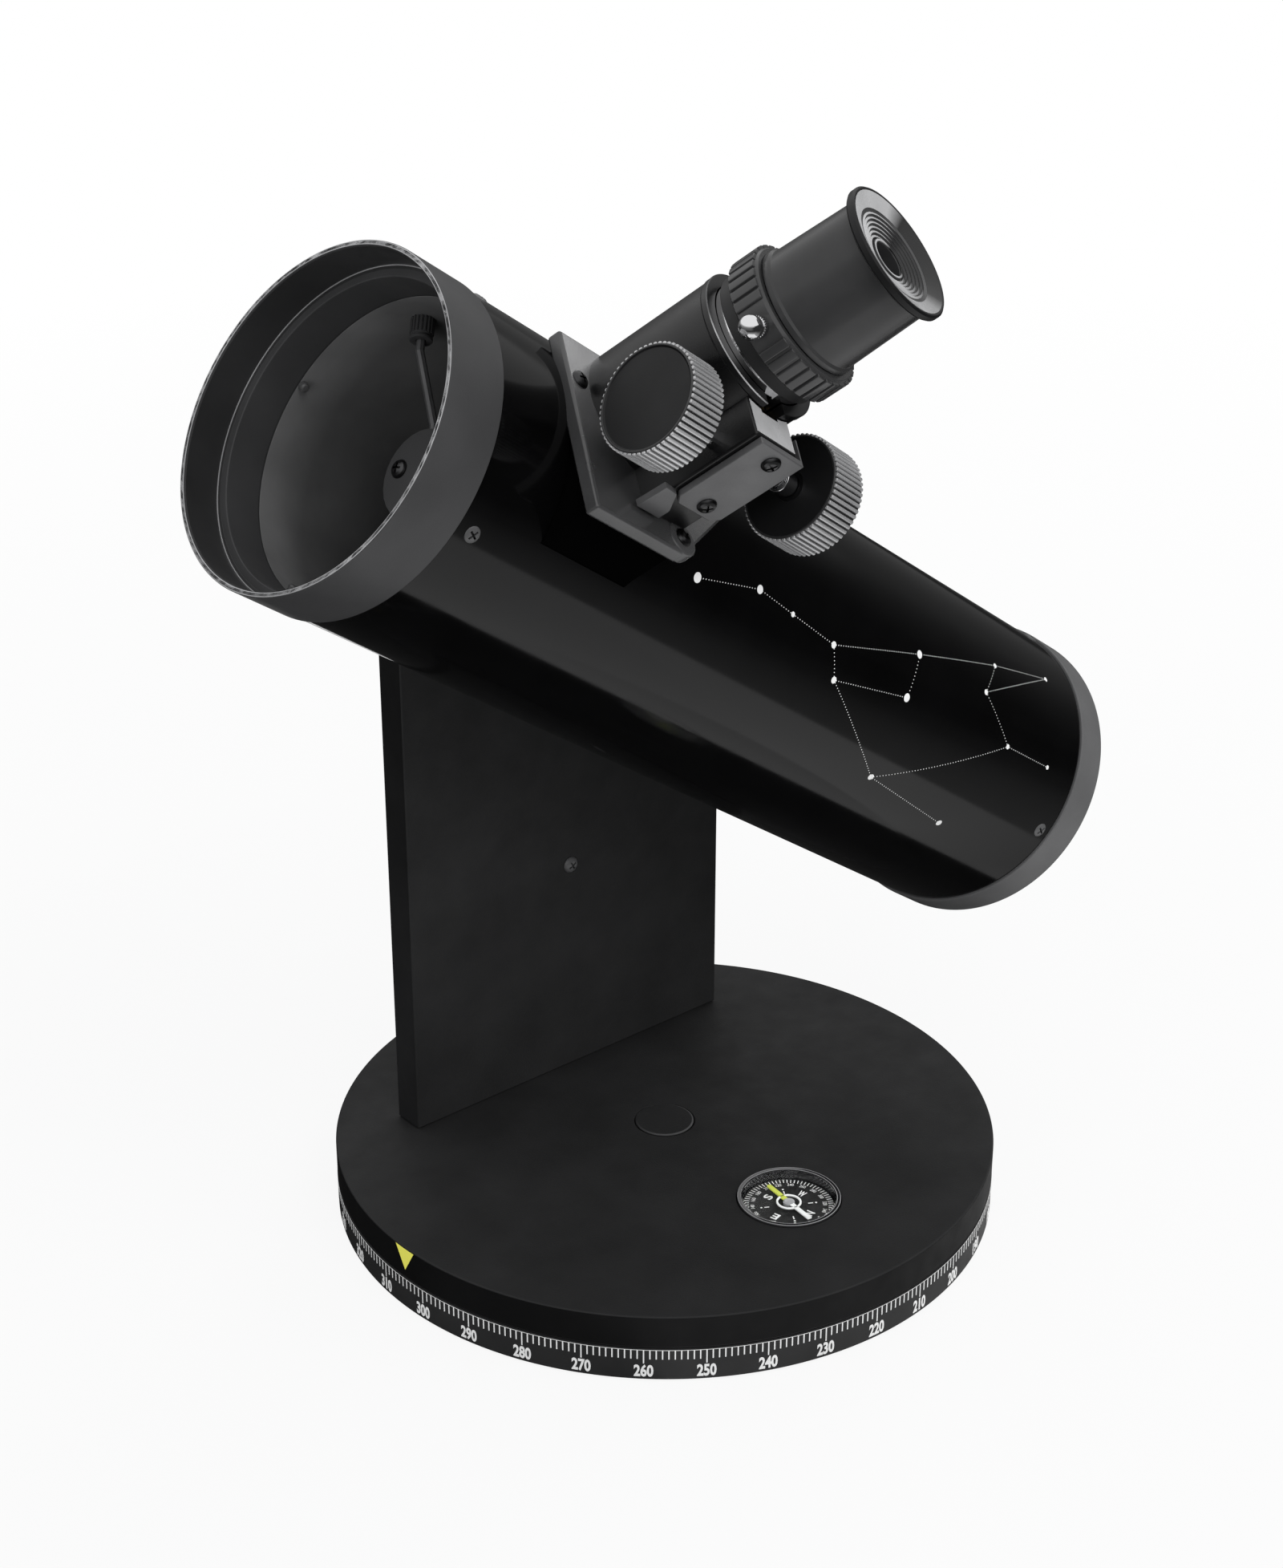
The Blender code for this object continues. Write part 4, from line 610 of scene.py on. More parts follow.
# Painted highlight: the cap's lighter edge ring.
gleam = [(cap_out - 0.55, cap_top - 0.2), (cap_out + 0.05, cap_top - 0.4),
         (cap_out + 0.05, cap_top - 0.12), (cap_out - 0.55, cap_top + 0.05)]
table_piece("pivot_cap_edge", ring(gleam, 0.06, 128, 2), cap_gleam, slot="black_plastic")

# %% [markdown]
# ## Side arm
# The arm is a plain upright board cut from the same sheet as the base.
# A bevelled block is enough, with the hole for the tilt bolt drilled through it.

# %% Side arm
BAND_INSET = 0.45
arm_low, arm_high = box_of("side_arm")
bolt_hole = moved(rod(BOLT_HOLE, -20.0, 20.0),
                  move(0.0, (arm_low.y + arm_high.y) / 2.0, PIVOT.z) @ turn("X", 90.0))
arm_mesh = combined("DIFFERENCE", bevelled(block(arm_low, arm_high), EDGE_ROUND), bolt_hole)
table_piece("side_arm_face", arm_mesh, board_black, "side_arm")
arm_bands = []
for side in (-1.0, 1.0):
    near, far = sorted((side * (arm_high.x - FIT), side * (arm_high.x + INK)))
    arm_bands.append(block((near, arm_low.y + BAND_INSET, arm_low.z + BAND_INSET),
                           (far, arm_high.y - BAND_INSET, arm_high.z - BAND_INSET)))
table_piece("arm_edge_bands", joined(arm_bands), arm_band)

# %% [markdown]
# ## Node trees for what repeats
# Ticks, ribs and screws repeat round a circle or over a list of places.
# A Geometry Nodes tree places one small shape many times, and its inputs carry the sizes.
# The first tree spreads a shape round a circle. It can stretch one in so many of the copies and
# leave a gap in one direction.
# The result is realised and kept as a plain mesh, because instances do not survive an export.

# %% Helpers that build and run a node tree
def new_tree(name, inputs):
    """A tree whose inputs are a start mesh, the shape to repeat, its finish and those asked for."""
    tree = bpy.data.node_groups.new(name, "GeometryNodeTree")
    inputs = {"Geometry": "Geometry", **inputs, "Shape": "Object", "Finish": "Material"}
    for label, kind in inputs.items():
        tree.interface.new_socket(label, in_out="INPUT", socket_type="NodeSocket" + kind)
    tree.interface.new_socket("Geometry", in_out="OUTPUT", socket_type="NodeSocketGeometry")
    return tree, tree.nodes.new("NodeGroupInput").outputs


def set_on(tree, given, points, facing, **links):
    """The tree's shape, set on each of the points."""
    shape = add_node(tree, "GeometryNodeObjectInfo", {"Object": given["Shape"]})
    return add_node(tree, "GeometryNodeInstanceOnPoints",
                    {"Points": points, "Instance": shape.outputs["Geometry"], "Rotation": facing,
                     **links}).outputs[0]


def end_tree(tree, given, shown):
    """Realize Instances and Set Material close every tree."""
    real = add_node(tree, "GeometryNodeRealizeInstances", {"Geometry": shown})
    coloured = add_node(tree, "GeometryNodeSetMaterial",
                        {"Geometry": real.outputs[0], "Material": given["Finish"]})
    tree.links.new(coloured.outputs[0], tree.nodes.new("NodeGroupOutput").inputs[0])


def grow(tree, start, shape, material, inputs=()):
    """Run a tree on a start mesh and keep the result."""
    part = held(shape)
    holder = held(start or bpy.data.meshes.new("start"))
    modifier = holder.modifiers.new("grow", "NODES")
    modifier.node_group = tree
    inputs = {**dict(inputs), "Shape": part, "Finish": material}
    for socket in tree.interface.items_tree:
        if socket.in_out == "INPUT" and socket.name in inputs:
            modifier[socket.identifier] = inputs[socket.name]
    mesh = kept(holder)
    bpy.data.objects.remove(part)
    return mesh


# %% Tree that spreads a shape round a circle
NO_GAP = 2.0
circle_tree, given = new_tree("shapes_round_a_circle", {
    "Count": "Int", "Radius": "Float", "Every": "Int", "Stretch": "Float", "Gap Way": "Vector",
    "Gap Cosine": "Float"})
circle = add_node(circle_tree, "GeometryNodeMeshCircle",
                  {"Vertices": given["Count"], "Radius": given["Radius"]})
place = add_node(circle_tree, "GeometryNodeInputPosition").outputs[0]
facing = add_node(circle_tree, "FunctionNodeAlignRotationToVector", {"Vector": place}, axis="X",
                  pivot_axis="Z")
unit = add_node(circle_tree, "ShaderNodeVectorMath", {0: place}, operation="NORMALIZE")
near = add_node(circle_tree, "ShaderNodeVectorMath", {0: unit.outputs[0], 1: given["Gap Way"]},
                operation="DOT_PRODUCT")
inside = add_node(circle_tree, "FunctionNodeCompare",
                  {0: near.outputs["Value"], 1: given["Gap Cosine"]}, operation="GREATER_THAN")
left = add_node(circle_tree, "GeometryNodeDeleteGeometry",
                {"Geometry": circle.outputs[0], "Selection": inside.outputs[0]})
index = add_node(circle_tree, "GeometryNodeInputIndex")
rest = add_node(circle_tree, "ShaderNodeMath", {0: index.outputs[0], 1: given["Every"]},
                operation="MODULO")
chosen = add_node(circle_tree, "ShaderNodeMath", {0: rest.outputs[0]}, {1: 0.5},
                  operation="LESS_THAN")
extra = add_node(circle_tree, "ShaderNodeMath", {0: given["Stretch"], 1: chosen.outputs[0]},
                 {2: 1.0}, operation="MULTIPLY_ADD")
size = add_node(circle_tree, "ShaderNodeCombineXYZ", {"Z": extra.outputs[0]}, {"X": 1.0, "Y": 1.0})
copies = set_on(circle_tree, given, left.outputs[0], facing.outputs[0], Scale=size.outputs[0])
both = add_node(circle_tree, "GeometryNodeJoinGeometry")
for geometry in (copies, given["Geometry"]):
    circle_tree.links.new(geometry, both.inputs[0])
end_tree(circle_tree, given, both.outputs[0])


def circle_of(shape, count, radius, material, core=None, every=1, stretch=0.0,
              gap_way=(1.0, 0.0, 0.0), gap_cosine=NO_GAP):
    """Copies of a shape round a circle, joined to a core."""
    return grow(circle_tree, core, shape, material,
                {"Count": count, "Radius": radius, "Every": every, "Stretch": stretch,
                 "Gap Way": gap_way, "Gap Cosine": gap_cosine})


print("the tree has", len(circle_tree.nodes), "nodes")

# %% [markdown]
# ## Degree scale
# The edge of the lower board carries a printed strip: a tick for every degree, a longer one for
# every ten. Each tick is a thin plate of ink that sits on the strip.

# %% Printed strip and its ticks
SCALE_TURN = math.radians(-234.23)
STRIP_OUT = BASE_RADIUS + 0.10
TICK_TOP = 11.0
strip = lathe(band(BASE_RADIUS - 0.6, STRIP_OUT, 0.45, 11.15), BOARD_STEPS, True)
base_piece("scale_strip", strip, strip_black)
tick = block((-0.05, -0.2, -3.3), (INK, 0.2, 0.0))
ticks = circle_of(tick, 360, STRIP_OUT, white_ink, every=10, stretch=0.48)
ticks.transform(move(0.0, 0.0, TICK_TOP) @ Matrix.Rotation(SCALE_TURN, 4, "Z"))
base_piece("scale_ticks", ticks, white_ink)
line = lathe(band(STRIP_OUT - 0.05, STRIP_OUT + INK, 10.92, 11.06), 360, True)
base_piece("scale_line", line, white_ink)

# %% [markdown]
# ## Numbers on the scale
# Text is a flat curve, so it is made into a mesh first and then bent round the board point by
# point. The printed figures are narrow and bold: the letters are squeezed and thickened to match.

# %% Helper for lettering, and the numbers
FIGURE_HEIGHT = 4.5
FIGURE_WIDTH = 2.0
FIGURE_MIDDLE = 3.45


def lettering(text, height, width, weight, thick=INK):
    """Text as a mesh, centred, of the height and width asked for, thick above its plane."""
    curve = bpy.data.curves.new("lettering", "FONT")
    curve.body = text
    curve.offset = weight
    curve.resolution_u = 3
    curve.extrude = 0.5
    mesh = kept(held(curve))
    corners = [v.co for v in mesh.vertices]
    low = Vector([min(c[i] for c in corners) for i in range(3)])
    high = Vector([max(c[i] for c in corners) for i in range(3)])
    size = high - low
    fit = Matrix.Diagonal((width / size.x, height / size.y, thick / size.z, 1.0))
    return moved(mesh, fit @ Matrix.Translation(-(low + high) / 2.0))


figures = []
for degree in range(0, 360, 10):
    text = str(degree)
    figure = lettering(text, FIGURE_HEIGHT, FIGURE_WIDTH * len(text), 0.035)
    middle = SCALE_TURN - math.radians(degree)
    for vertex in figure.vertices:
        across, up, out = vertex.co
        radius = STRIP_OUT + INK / 2.0 + out
        angle = middle + across / STRIP_OUT
        vertex.co = (radius * math.cos(angle), radius * math.sin(angle), FIGURE_MIDDLE + up)
    figures.append(figure)
base_piece("scale_figures", joined(figures), white_ink)

# %% [markdown]
# ## Pointer
# A yellow arrow on the edge of the turntable reads against the scale below it.
# It is a sticker, so it is drawn as a fine grid that follows the round edge.

# %% Yellow pointer
POINTER_ANGLE = math.radians(-178.5)
POINTER_TOP, POINTER_DROP = 22.55, 7.8
POINTER_HALF, POINTER_TIP = 4.5, 0.12
POINTER_ROWS, POINTER_COLUMNS = 6, 8


def sticker(outline, radius, thick, columns=POINTER_COLUMNS):
    """Rows of (height, low angle, high angle) as a thin plate on a cylinder about Z."""
    builder = bmesh.new()
    borders = []
    for skin in (radius - 0.02, radius + thick):
        rows = []
        for height, first, last in outline:
            angles = [first + (last - first) * i / columns for i in range(columns + 1)]
            rows.append([builder.verts.new((skin * math.cos(a), skin * math.sin(a), height))
                         for a in angles])
        for one, two in zip(rows, rows[1:]):
            for i in range(columns):
                builder.faces.new((one[i], one[i + 1], two[i + 1], two[i]))
        borders.append(rows[0] + [row[-1] for row in rows[1:]] + rows[-1][-2::-1]
                       + [row[0] for row in rows[-2:0:-1]])
    inner, outer = borders
    for i in range(len(inner)):
        j = (i + 1) % len(inner)
        builder.faces.new((inner[i], inner[j], outer[j], outer[i]))
    bmesh.ops.remove_doubles(builder, verts=builder.verts, dist=1e-4)
    return meshed(builder, "sticker")


pointer_rows = []
for step in range(POINTER_ROWS + 1):
    share = step / POINTER_ROWS
    half = (POINTER_HALF * (1.0 - share) + POINTER_TIP * share) / BASE_RADIUS
    pointer_rows.append((POINTER_TOP - POINTER_DROP * share, POINTER_ANGLE - half,
                         POINTER_ANGLE + half))
table_piece("scale_pointer", sticker(pointer_rows, BASE_RADIUS, 0.08), yellow_ink)

# %% [markdown]
# ## Compass
# A small compass is let into the board: a smoky cup, a printed card, a two-coloured needle and a
# glass. The card's marks use the same tree as the scale, with a tick that lies down.

# %% Compass cup, card and glass
COMPASS = BOARD @ COMPASS_PLACE
compass_piece = on_body("turntable", COMPASS, "black_plastic")
dial_low, dial_high = box_of("compass_dial")
glass_low, glass_high = box_of("compass_glass")
needle_low, needle_high = box_of("compass_needle")
cup_out, cup_top = compass_high.x, compass_high.z
glass_out = glass_high.x
card_top = min(dial_high.z + 1.0, needle_low.z - FIT)
cup = turned([(0.0, dial_low.z - FIT), (glass_out + FIT, dial_low.z - FIT),
              (glass_out + FIT, cup_top), (cup_out, cup_top), (cup_out, compass_low.z),
              (0.0, compass_low.z)], 0.3, 128)
compass_piece("compass_cup", cup, smoky_plastic, "compass_housing")
card = ring(band(0.9, glass_out - 0.05, card_top, dial_low.z), 0.1, 96)
compass_piece("compass_card", card, dial_black, "compass_dial", slot="compass_dial")
glass = turned(band(0.0, glass_out, glass_high.z, glass_low.z), 0.25, 96)
window = compass_piece("compass_window", glass, thin_window, "compass_glass", slot="clear_glass")
window.visible_shadow = False
lip = band(glass_out + 0.35, cup_out - 0.1, cup_top - 0.4, cup_top + 0.1)
compass_piece("compass_lip", ring(lip, 0.25, 128), smoky_plastic)
# The lip lines are light grey rings: painted highlights on the clear rim's edges.
lip_lines = [ring(band(line, line + 0.22, cup_top - 0.2, cup_top + 0.16), 0.08, 128, 2)
             for line in (glass_out + 0.45, cup_out - 0.35)]
compass_piece("compass_lip_lines", joined(lip_lines), lip_highlight_and_hub_grey)
print("card stands", round(card_top - dial_high.z, 2), "mm above its solid")

# %% Marks on the compass card
NORTH = -76.0
CARD_INK = 0.03
MARK_RADIUS = 14.5
FIGURE_RADIUS, LETTER_RADIUS, SPOT_RADIUS = 11.7, 7.9, 9.0
card_tick = block((-1.7, -0.14, 0.0), (0.0, 0.14, CARD_INK))
card_marks = [circle_of(card_tick, 72, MARK_RADIUS, white_ink, every=10, stretch=0.2)]


def mark_card(bearing, mesh, radius=0.0, lift=0.0):
    card_marks.append(moved(mesh, turn("Z", -bearing) @ move(0.0, radius, lift)))


for bearing in range(0, 360, 20):
    text = str(bearing)
    mark_card(bearing, lettering(text, 1.3, 0.7 * len(text), 0.0, CARD_INK), FIGURE_RADIUS,
              CARD_INK / 2.0)
for bearing, letter in ((0, "N"), (90, "E"), (180, "S"), (270, "W")):
    mark_card(bearing, lettering(letter, 3.0, 2.3, 0.025, CARD_INK), LETTER_RADIUS, CARD_INK / 2.0)
for bearing in (45, 135, 225, 315):
    mark_card(bearing, block((-0.2, 6.4, 0.0), (0.2, 8.0, CARD_INK)))
    mark_card(bearing, rod(0.35, CARD_INK, 0.0, 12), SPOT_RADIUS)
card_print = moved(joined(card_marks), move(0.0, 0.0, card_top) @ turn("Z", NORTH - 90.0))
compass_piece("compass_print", card_print, white_ink, slot="compass_dial")

# %% Compass needle
needle_piece = on_body("needle", COMPASS @ turn("Z", 83.0), "needle_paint")
TIP_PLACE, TIP_ROUND, TIP_STEPS = 10.6, 0.85, 8
blade_top = needle_high.z
blade_low = blade_top - 0.5
tip_angles = [math.pi * (i / TIP_STEPS - 0.5) for i in range(TIP_STEPS + 1)]
tip = [(TIP_PLACE + TIP_ROUND * math.cos(a), TIP_ROUND * math.sin(a)) for a in tip_angles]
north_half = prism([(1.5, -TIP_ROUND)] + tip + [(1.5, TIP_ROUND)], blade_low, blade_top)
needle_piece("needle_north", bevelled(north_half, 0.12, 2), needle_yellow, "compass_needle")
south_half = prism([(-1.5, 0.8), (-11.3, 0.8), (-11.3, -0.8), (-1.5, -0.8)], blade_low, blade_top)
hub_ring = ring(band(3.45, 4.1, blade_low, blade_top), 0.1, 64)
needle_piece("needle_south", joined([bevelled(south_half, 0.12, 2), hub_ring]), white_ink)
hub = turned([(0.0, blade_top + 0.25), (1.9, blade_top), (1.9, needle_low.z), (0.9, needle_low.z),
              (0.9, blade_low), (0.0, blade_low)], 0.15, 48)
needle_piece("needle_hub", hub, lip_highlight_and_hub_grey)

# %% [markdown]
# ## Optical tube
# The tube is a rolled sheet, sprayed gloss black outside and flat black inside.
# A spun ring gives it a true round, because any facet would show in the gloss.
# The window for the focuser is cut through the wall, and the inside is a thin liner with its own
# paint; its colour is painted lighter near the mouth, as painted light.

# %% Tube wall and its inside
TUBE_OUT = 49.9
TUBE_IN = 48.3
TUBE_FRONT = -135.7
TUBE_BACK = 157.9
TUBE_STEPS = 224
tube_piece = on_body("optical_tube", ALONG_TUBE, "gloss_black_paint")


def five_sided(half, back, shoulder, notch, front):
    """The outline of the focuser's foot: a rectangle with one corner cut off."""
    return [(-half, back), (half, back), (half, shoulder), (notch, front), (-half, front)]


def with_window(mesh):
    """Cut the focuser's window, given in the focuser's frame, out of a tube."""
    opening = prism(five_sided(27.8, 16.3, -18.6, 7.1, -39.3), 5.0, 70.0)
    return combined("DIFFERENCE", mesh, moved(opening, ALONG_TUBE.inverted() @ FOCUSER))


wall = ring(band(TUBE_IN + 0.25, TUBE_OUT, TUBE_FRONT, TUBE_BACK), 0.3, TUBE_STEPS)
tube_piece("tube_wall", with_window(wall), tube_paint, "main_tube")
liner = lathe(band(TUBE_IN, TUBE_IN + 0.2, -126.2, TUBE_BACK - 0.2), TUBE_STEPS, True)
tube_piece("tube_liner", with_window(liner), tube_inside)

# %% [markdown]
# ## End ring and mirror cell
# Both ends are moulded in the same dark grey plastic with a fine spark-eroded texture. The rear
# cell's finish is a lighter copy of the ring's, as painted light.
# They are spun from the same steps as the solids, with a lining and with bright lines along the rim
# and the step, painted highlights in a light metallic grey.
# A thin cone of paint carries the ring's bore smoothly into the tube.

# %% Front ring and rear cell
COLLAR_OUT = 50.7
end_piece = on_body("optical_tube", ALONG_TUBE, "dark_grey_plastic")
front_ring = [(49.1, -156.1), (COLLAR_OUT, -156.1), (COLLAR_OUT, -136.0), (48.0, -136.0),
              (48.0, -126.5), (45.6, -126.5), (45.6, -143.6), (49.1, -143.6)]
end_piece("front_ring_face", ring(front_ring, 0.4, TUBE_STEPS), ring_plastic, "front_ring")
# Painted highlight: a thin light bead along the rim, and another at the step.
rim_highlight_edge = [(49.3, -156.1), (50.5, -156.1), (50.62, -155.8), (50.3, -155.5), (49.5, -155.5),
            (49.18, -155.8)]
end_piece("front_ring_edge", ring(rim_highlight_edge, 0.15, TUBE_STEPS), rim_highlight_grey)
step_line = band(48.72, 49.04, -144.0, -143.72)
end_piece("front_ring_line", ring(step_line, 0.08, TUBE_STEPS, 2), rim_highlight_grey)
lining = [(49.25, -155.5), (49.0, -155.5), (49.0, -143.75), (47.9, -143.65), (45.5, -131.0),
          (45.8, -131.0), (45.8, -143.4), (49.25, -143.4)]
end_piece("front_ring_lining", ring(lining, 0.12, TUBE_STEPS), ring_lining)
sleeve = [(45.8, -131.0), (45.5, -131.0), (45.5, -127.5), (48.2, -40.0), (48.28, -40.0),
          (48.28, -126.3), (45.8, -126.3)]
end_piece("front_sleeve_paint", with_window(ring(sleeve, 0.08, TUBE_STEPS)), tube_inside)
rear_cell = [(0.0, 158.8), (45.6, 158.8), (45.6, 147.2), (48.0, 147.2), (48.0, 158.2),
             (COLLAR_OUT, 158.2), (COLLAR_OUT, 170.9), (47.7, 170.9), (47.7, 162.8), (0.0, 162.8)]
# Painted light: the rear cell wears the lighter copy of the ring plastic.
end_piece("rear_cell_face", turned(rear_cell, 0.5, TUBE_STEPS), cell_lit_plastic, "rear_cell")

# %% [markdown]
# ## Star figure
# A well-known northern star group is printed on the tube in white, with dotted lines between the
# stars. Each star is given by its place along the tube, its angle round it and its size.
# The tree walks a curve on the surface and sets a dot at every step.

# %% Stars
STARS = [(-47.9, 80.6, 1.55), (-21.1, 73.7, 1.35), (-4.2, 75.7, 0.85), (17.5, 78.1, 1.1),
         (23.2, 88.9, 1.1), (60.2, 65.1, 1.35), (58.6, 82.0, 1.4), (104.6, 52.1, 0.85),
         (138.8, 43.9, 0.85), (98.9, 64.9, 0.95), (116.6, 79.8, 0.85), (141.2, 79.4, 0.75),
         (63.9, 113.5, 1.1), (107.4, 117.7, 1.1)]
STAR_SINK = -0.02
printed_piece = on_body("optical_tube", TUBE, "gloss_black_paint")


def on_tube(along, degrees, radius):
    """A place on the tube: angles start at the top and open towards the viewer."""
    angle = math.radians(degrees)
    return Vector((along, -radius * math.sin(angle), radius * math.cos(angle)))


def dot_on_tube(along, degrees, size):
    """A disc of ink that is bent to lie on the tube."""
    dot = lathe([(0.0, INK), (size * 0.92, INK), (size, 0.0), (0.0, STAR_SINK)], 24)
    dot.transform(turn("X", degrees))
    middle = on_tube(along, degrees, TUBE_OUT)
    for vertex in dot.vertices:
        spot = vertex.co + middle
        lift = vertex.co.dot(on_tube(0.0, degrees, 1.0))
        round_angle = math.degrees(math.atan2(-spot.y, spot.z))
        vertex.co = on_tube(spot.x, round_angle, TUBE_OUT + max(lift, STAR_SINK))
    return dot


printed_piece("star_dots", joined([dot_on_tube(*star) for star in STARS]), white_ink)

# %% Dotted lines between the stars
TRAILS = [(0, 1), (1, 2), (2, 3), (3, 4), (3, 5), (5, 6), (6, 4), (5, 7), (7, 8), (8, 9), (9, 7),
          (9, 10), (10, 11), (10, 12), (4, 12), (12, 13)]
TRAIL_STEPS = 24
trail_tree, given = new_tree("dotted_trails", {"Step": "Float"})
path = add_node(trail_tree, "GeometryNodeMeshToCurve", {"Mesh": given["Geometry"]})
steps = add_node(trail_tree, "GeometryNodeResampleCurve",
                 {"Curve": path.outputs[0], "Length": given["Step"]}, mode="LENGTH")
place = add_node(trail_tree, "GeometryNodeInputPosition")
outward = add_node(trail_tree, "ShaderNodeVectorMath", {0: place.outputs[0]}, {1: (0.0, 1.0, 1.0)},
                   operation="MULTIPLY")
facing = add_node(trail_tree, "FunctionNodeAlignRotationToVector", {"Vector": outward.outputs[0]},
                  axis="Z")
end_tree(trail_tree, given, set_on(trail_tree, given, steps.outputs[0], facing.outputs[0]))

trail_lines = bmesh.new()
for first, last in TRAILS:
    row = []
    for step in range(TRAIL_STEPS + 1):
        along, degrees = [a + (b - a) * step / TRAIL_STEPS
                          for a, b in zip(STARS[first][:2], STARS[last][:2])]
        row.append(trail_lines.verts.new(on_tube(along, degrees, TUBE_OUT)))
    for one, two in zip(row, row[1:]):
        trail_lines.edges.new((one, two))
trails = grow(trail_tree, meshed(trail_lines, "trails", outward=False), rod(0.17, 0.05, -0.03, 8),
              white_ink, {"Step": 1.15})
printed_piece("star_trails", trails, white_ink)

# %% [markdown]
# ## Focuser casting
# The focuser is one casting: a flat plate on a saddle block, a barrel and a square block for the
# pinion. It is dressed as a few pieces in shades of one black paint: the plate's paint is a lighter
# copy, as painted light; thin skins on the plate and the block's end carry painted highlights; and
# the saddle is near-black with no sheen, as painted shade under the plate.
# Soft edges come first, then forms are united, and the bore and the rack's slot are cut last.

# %% Tools that cut the casting
PLATE_TOP = 52.7
PLATE_LOW = 48.1
BARREL_TOP = 94.5
BORE_STEPS = 128
PINION_PLACE = move(0.0, -26.45, 79.0)
SIDE_SCREW = (7.0, -35.85)
SADDLE_OUTLINE = five_sided(27.5, 16.0, -18.5, 7.0, -39.0)
cast_piece = on_body("optical_tube", FOCUSER, "satin_casting")


def tube_round(radius):
    """A cylinder on the tube's axis, in the focuser's frame."""
    return moved(rod(radius, -120.0, 120.0, 160), turn("X", -FOCUSER_ROUND) @ turn("Y", 90.0))


bore = rod(18.65, 0.0, 110.0, BORE_STEPS)
rack_slot = block((-3.6, -23.0, 40.0), (3.6, 0.0, 110.0))
gear_room = moved(rod(6.4, -4.0, 4.0), PINION_PLACE @ turn("Y", 90.0))
print("the bore has", len(bore.polygons), "faces")

# %% Saddle and plate
# Painted shade: the saddle under the plate is near-black.
saddle = prism(SADDLE_OUTLINE, 22.0, PLATE_LOW + 0.2)
cast_piece("focuser_saddle", combined("DIFFERENCE", saddle, tube_round(46.5), bore), saddle_black_and_shade)
skin = combined("DIFFERENCE", tube_round(46.6), tube_round(46.3))
skin = combined("INTERSECT", skin, prism(SADDLE_OUTLINE, 5.0, 70.0))
cast_piece("saddle_lining", combined("DIFFERENCE", skin, bore), tube_inside)
plate = prism(five_sided(30.0, 18.5, -19.5, 6.8, -41.5), PLATE_LOW, PLATE_TOP)
lobe = moved(turned(band(0.0, 5.6, PLATE_TOP + 0.35, PLATE_LOW + 0.3), 0.7, 64),
             move(*SIDE_SCREW, 0.0))
plate = combined("UNION", bevelled(plate, 0.9, 4), lobe)
plate = combined("DIFFERENCE", plate, bore, rack_slot)
cast_piece("focuser_plate", plate, cast_paint_lit, "focuser_housing")
# Painted highlight: a thin skin over the plate's top.
plate_highlight_skin = prism(five_sided(29.1, 17.6, -19.1, 6.4, -40.6), PLATE_TOP - 0.2, PLATE_TOP + 0.04)
plate_highlight_skin = combined("DIFFERENCE", plate_highlight_skin, rod(21.0, 0.0, 110.0, BORE_STEPS),
                  block((-8.5, -32.2, 40.0), (8.5, 0.0, 110.0)))
cast_piece("plate_milled_top", plate_highlight_skin, plate_sheen)

# %% Barrel and pinion block
barrel = turned([(0.0, BARREL_TOP), (22.1, BARREL_TOP), (22.1, 92.6), (21.8, 92.2), (21.8, 42.0),
                 (0.0, 42.0)], 0.35, BORE_STEPS)
barrel = combined("DIFFERENCE", barrel, tube_round(TUBE_OUT - 0.4))
pinion_block = bevelled(block((-8.75, -32.45, 51.0), (8.75, 0.0, 92.0)), 0.8, 4)
barrel = combined("UNION", barrel, pinion_block)
barrel = combined("DIFFERENCE", barrel, bore, rack_slot, gear_room)
cast_piece("focuser_barrel", barrel, barrel_paint)
# Painted highlight: a thin bright line on the barrel's lip.
lip_line = ring([(21.85, 94.2), (22.16, 94.2), (22.16, 94.45), (21.85, 94.56)], 0.06, BORE_STEPS, 2)
cast_piece("barrel_lip_line", combined("DIFFERENCE", lip_line, rack_slot), barrel_lip_highlight)
# Painted highlight: a thin light skin on the block's end.
block_end = block((-8.3, -31.4, 91.8), (8.3, -15.0, 92.04))
block_end = combined("DIFFERENCE", block_end, rod(22.3, 80.0, 110.0, BORE_STEPS), rack_slot)
cast_piece("block_milled_end", block_end, block_sheen)

# %% [markdown]
# ## Pinion cover
# A small pressed plate closes the pinion block and lets the shaft be set. It is bare satin metal.

# %% Pinion cover
COVER_SHIFT = 2.2
cover_outline = [(-7.2, 92.0), (-7.2, 63.5), (-5.0, 61.2), (8.6, 61.2), (11.0, 63.5), (11.0, 92.0)]
foot_outline = [(-13.3, 53.6), (-3.9, 53.6), (-3.9, 57.5), (-8.0, 63.4), (-12.8, 63.8)]
cover = moved(bevelled(prism(cover_outline, 32.55, 34.75), 0.4, 3), turn("X", 90.0))
foot = moved(bevelled(prism(foot_outline, 32.4, 34.6), 0.3, 2), turn("X", 90.0))
side_lip = bevelled(block((10.4, -34.6, 84.0), (11.0, -25.5, 92.0)), 0.12, 2)
cast_piece("pinion_cover_face", joined([cover, foot, side_lip]), cover_metal, "pinion_cover")

# %% [markdown]
# ## Ribbed grips
# The focus knobs, the eyepiece ring, the tension knob and the lock screw all have ribs for the
# fingers. The circle tree sets a rib at every step and joins the ribs to the turned core.
# Its gap leaves room on the eyepiece ring for the lock screw.

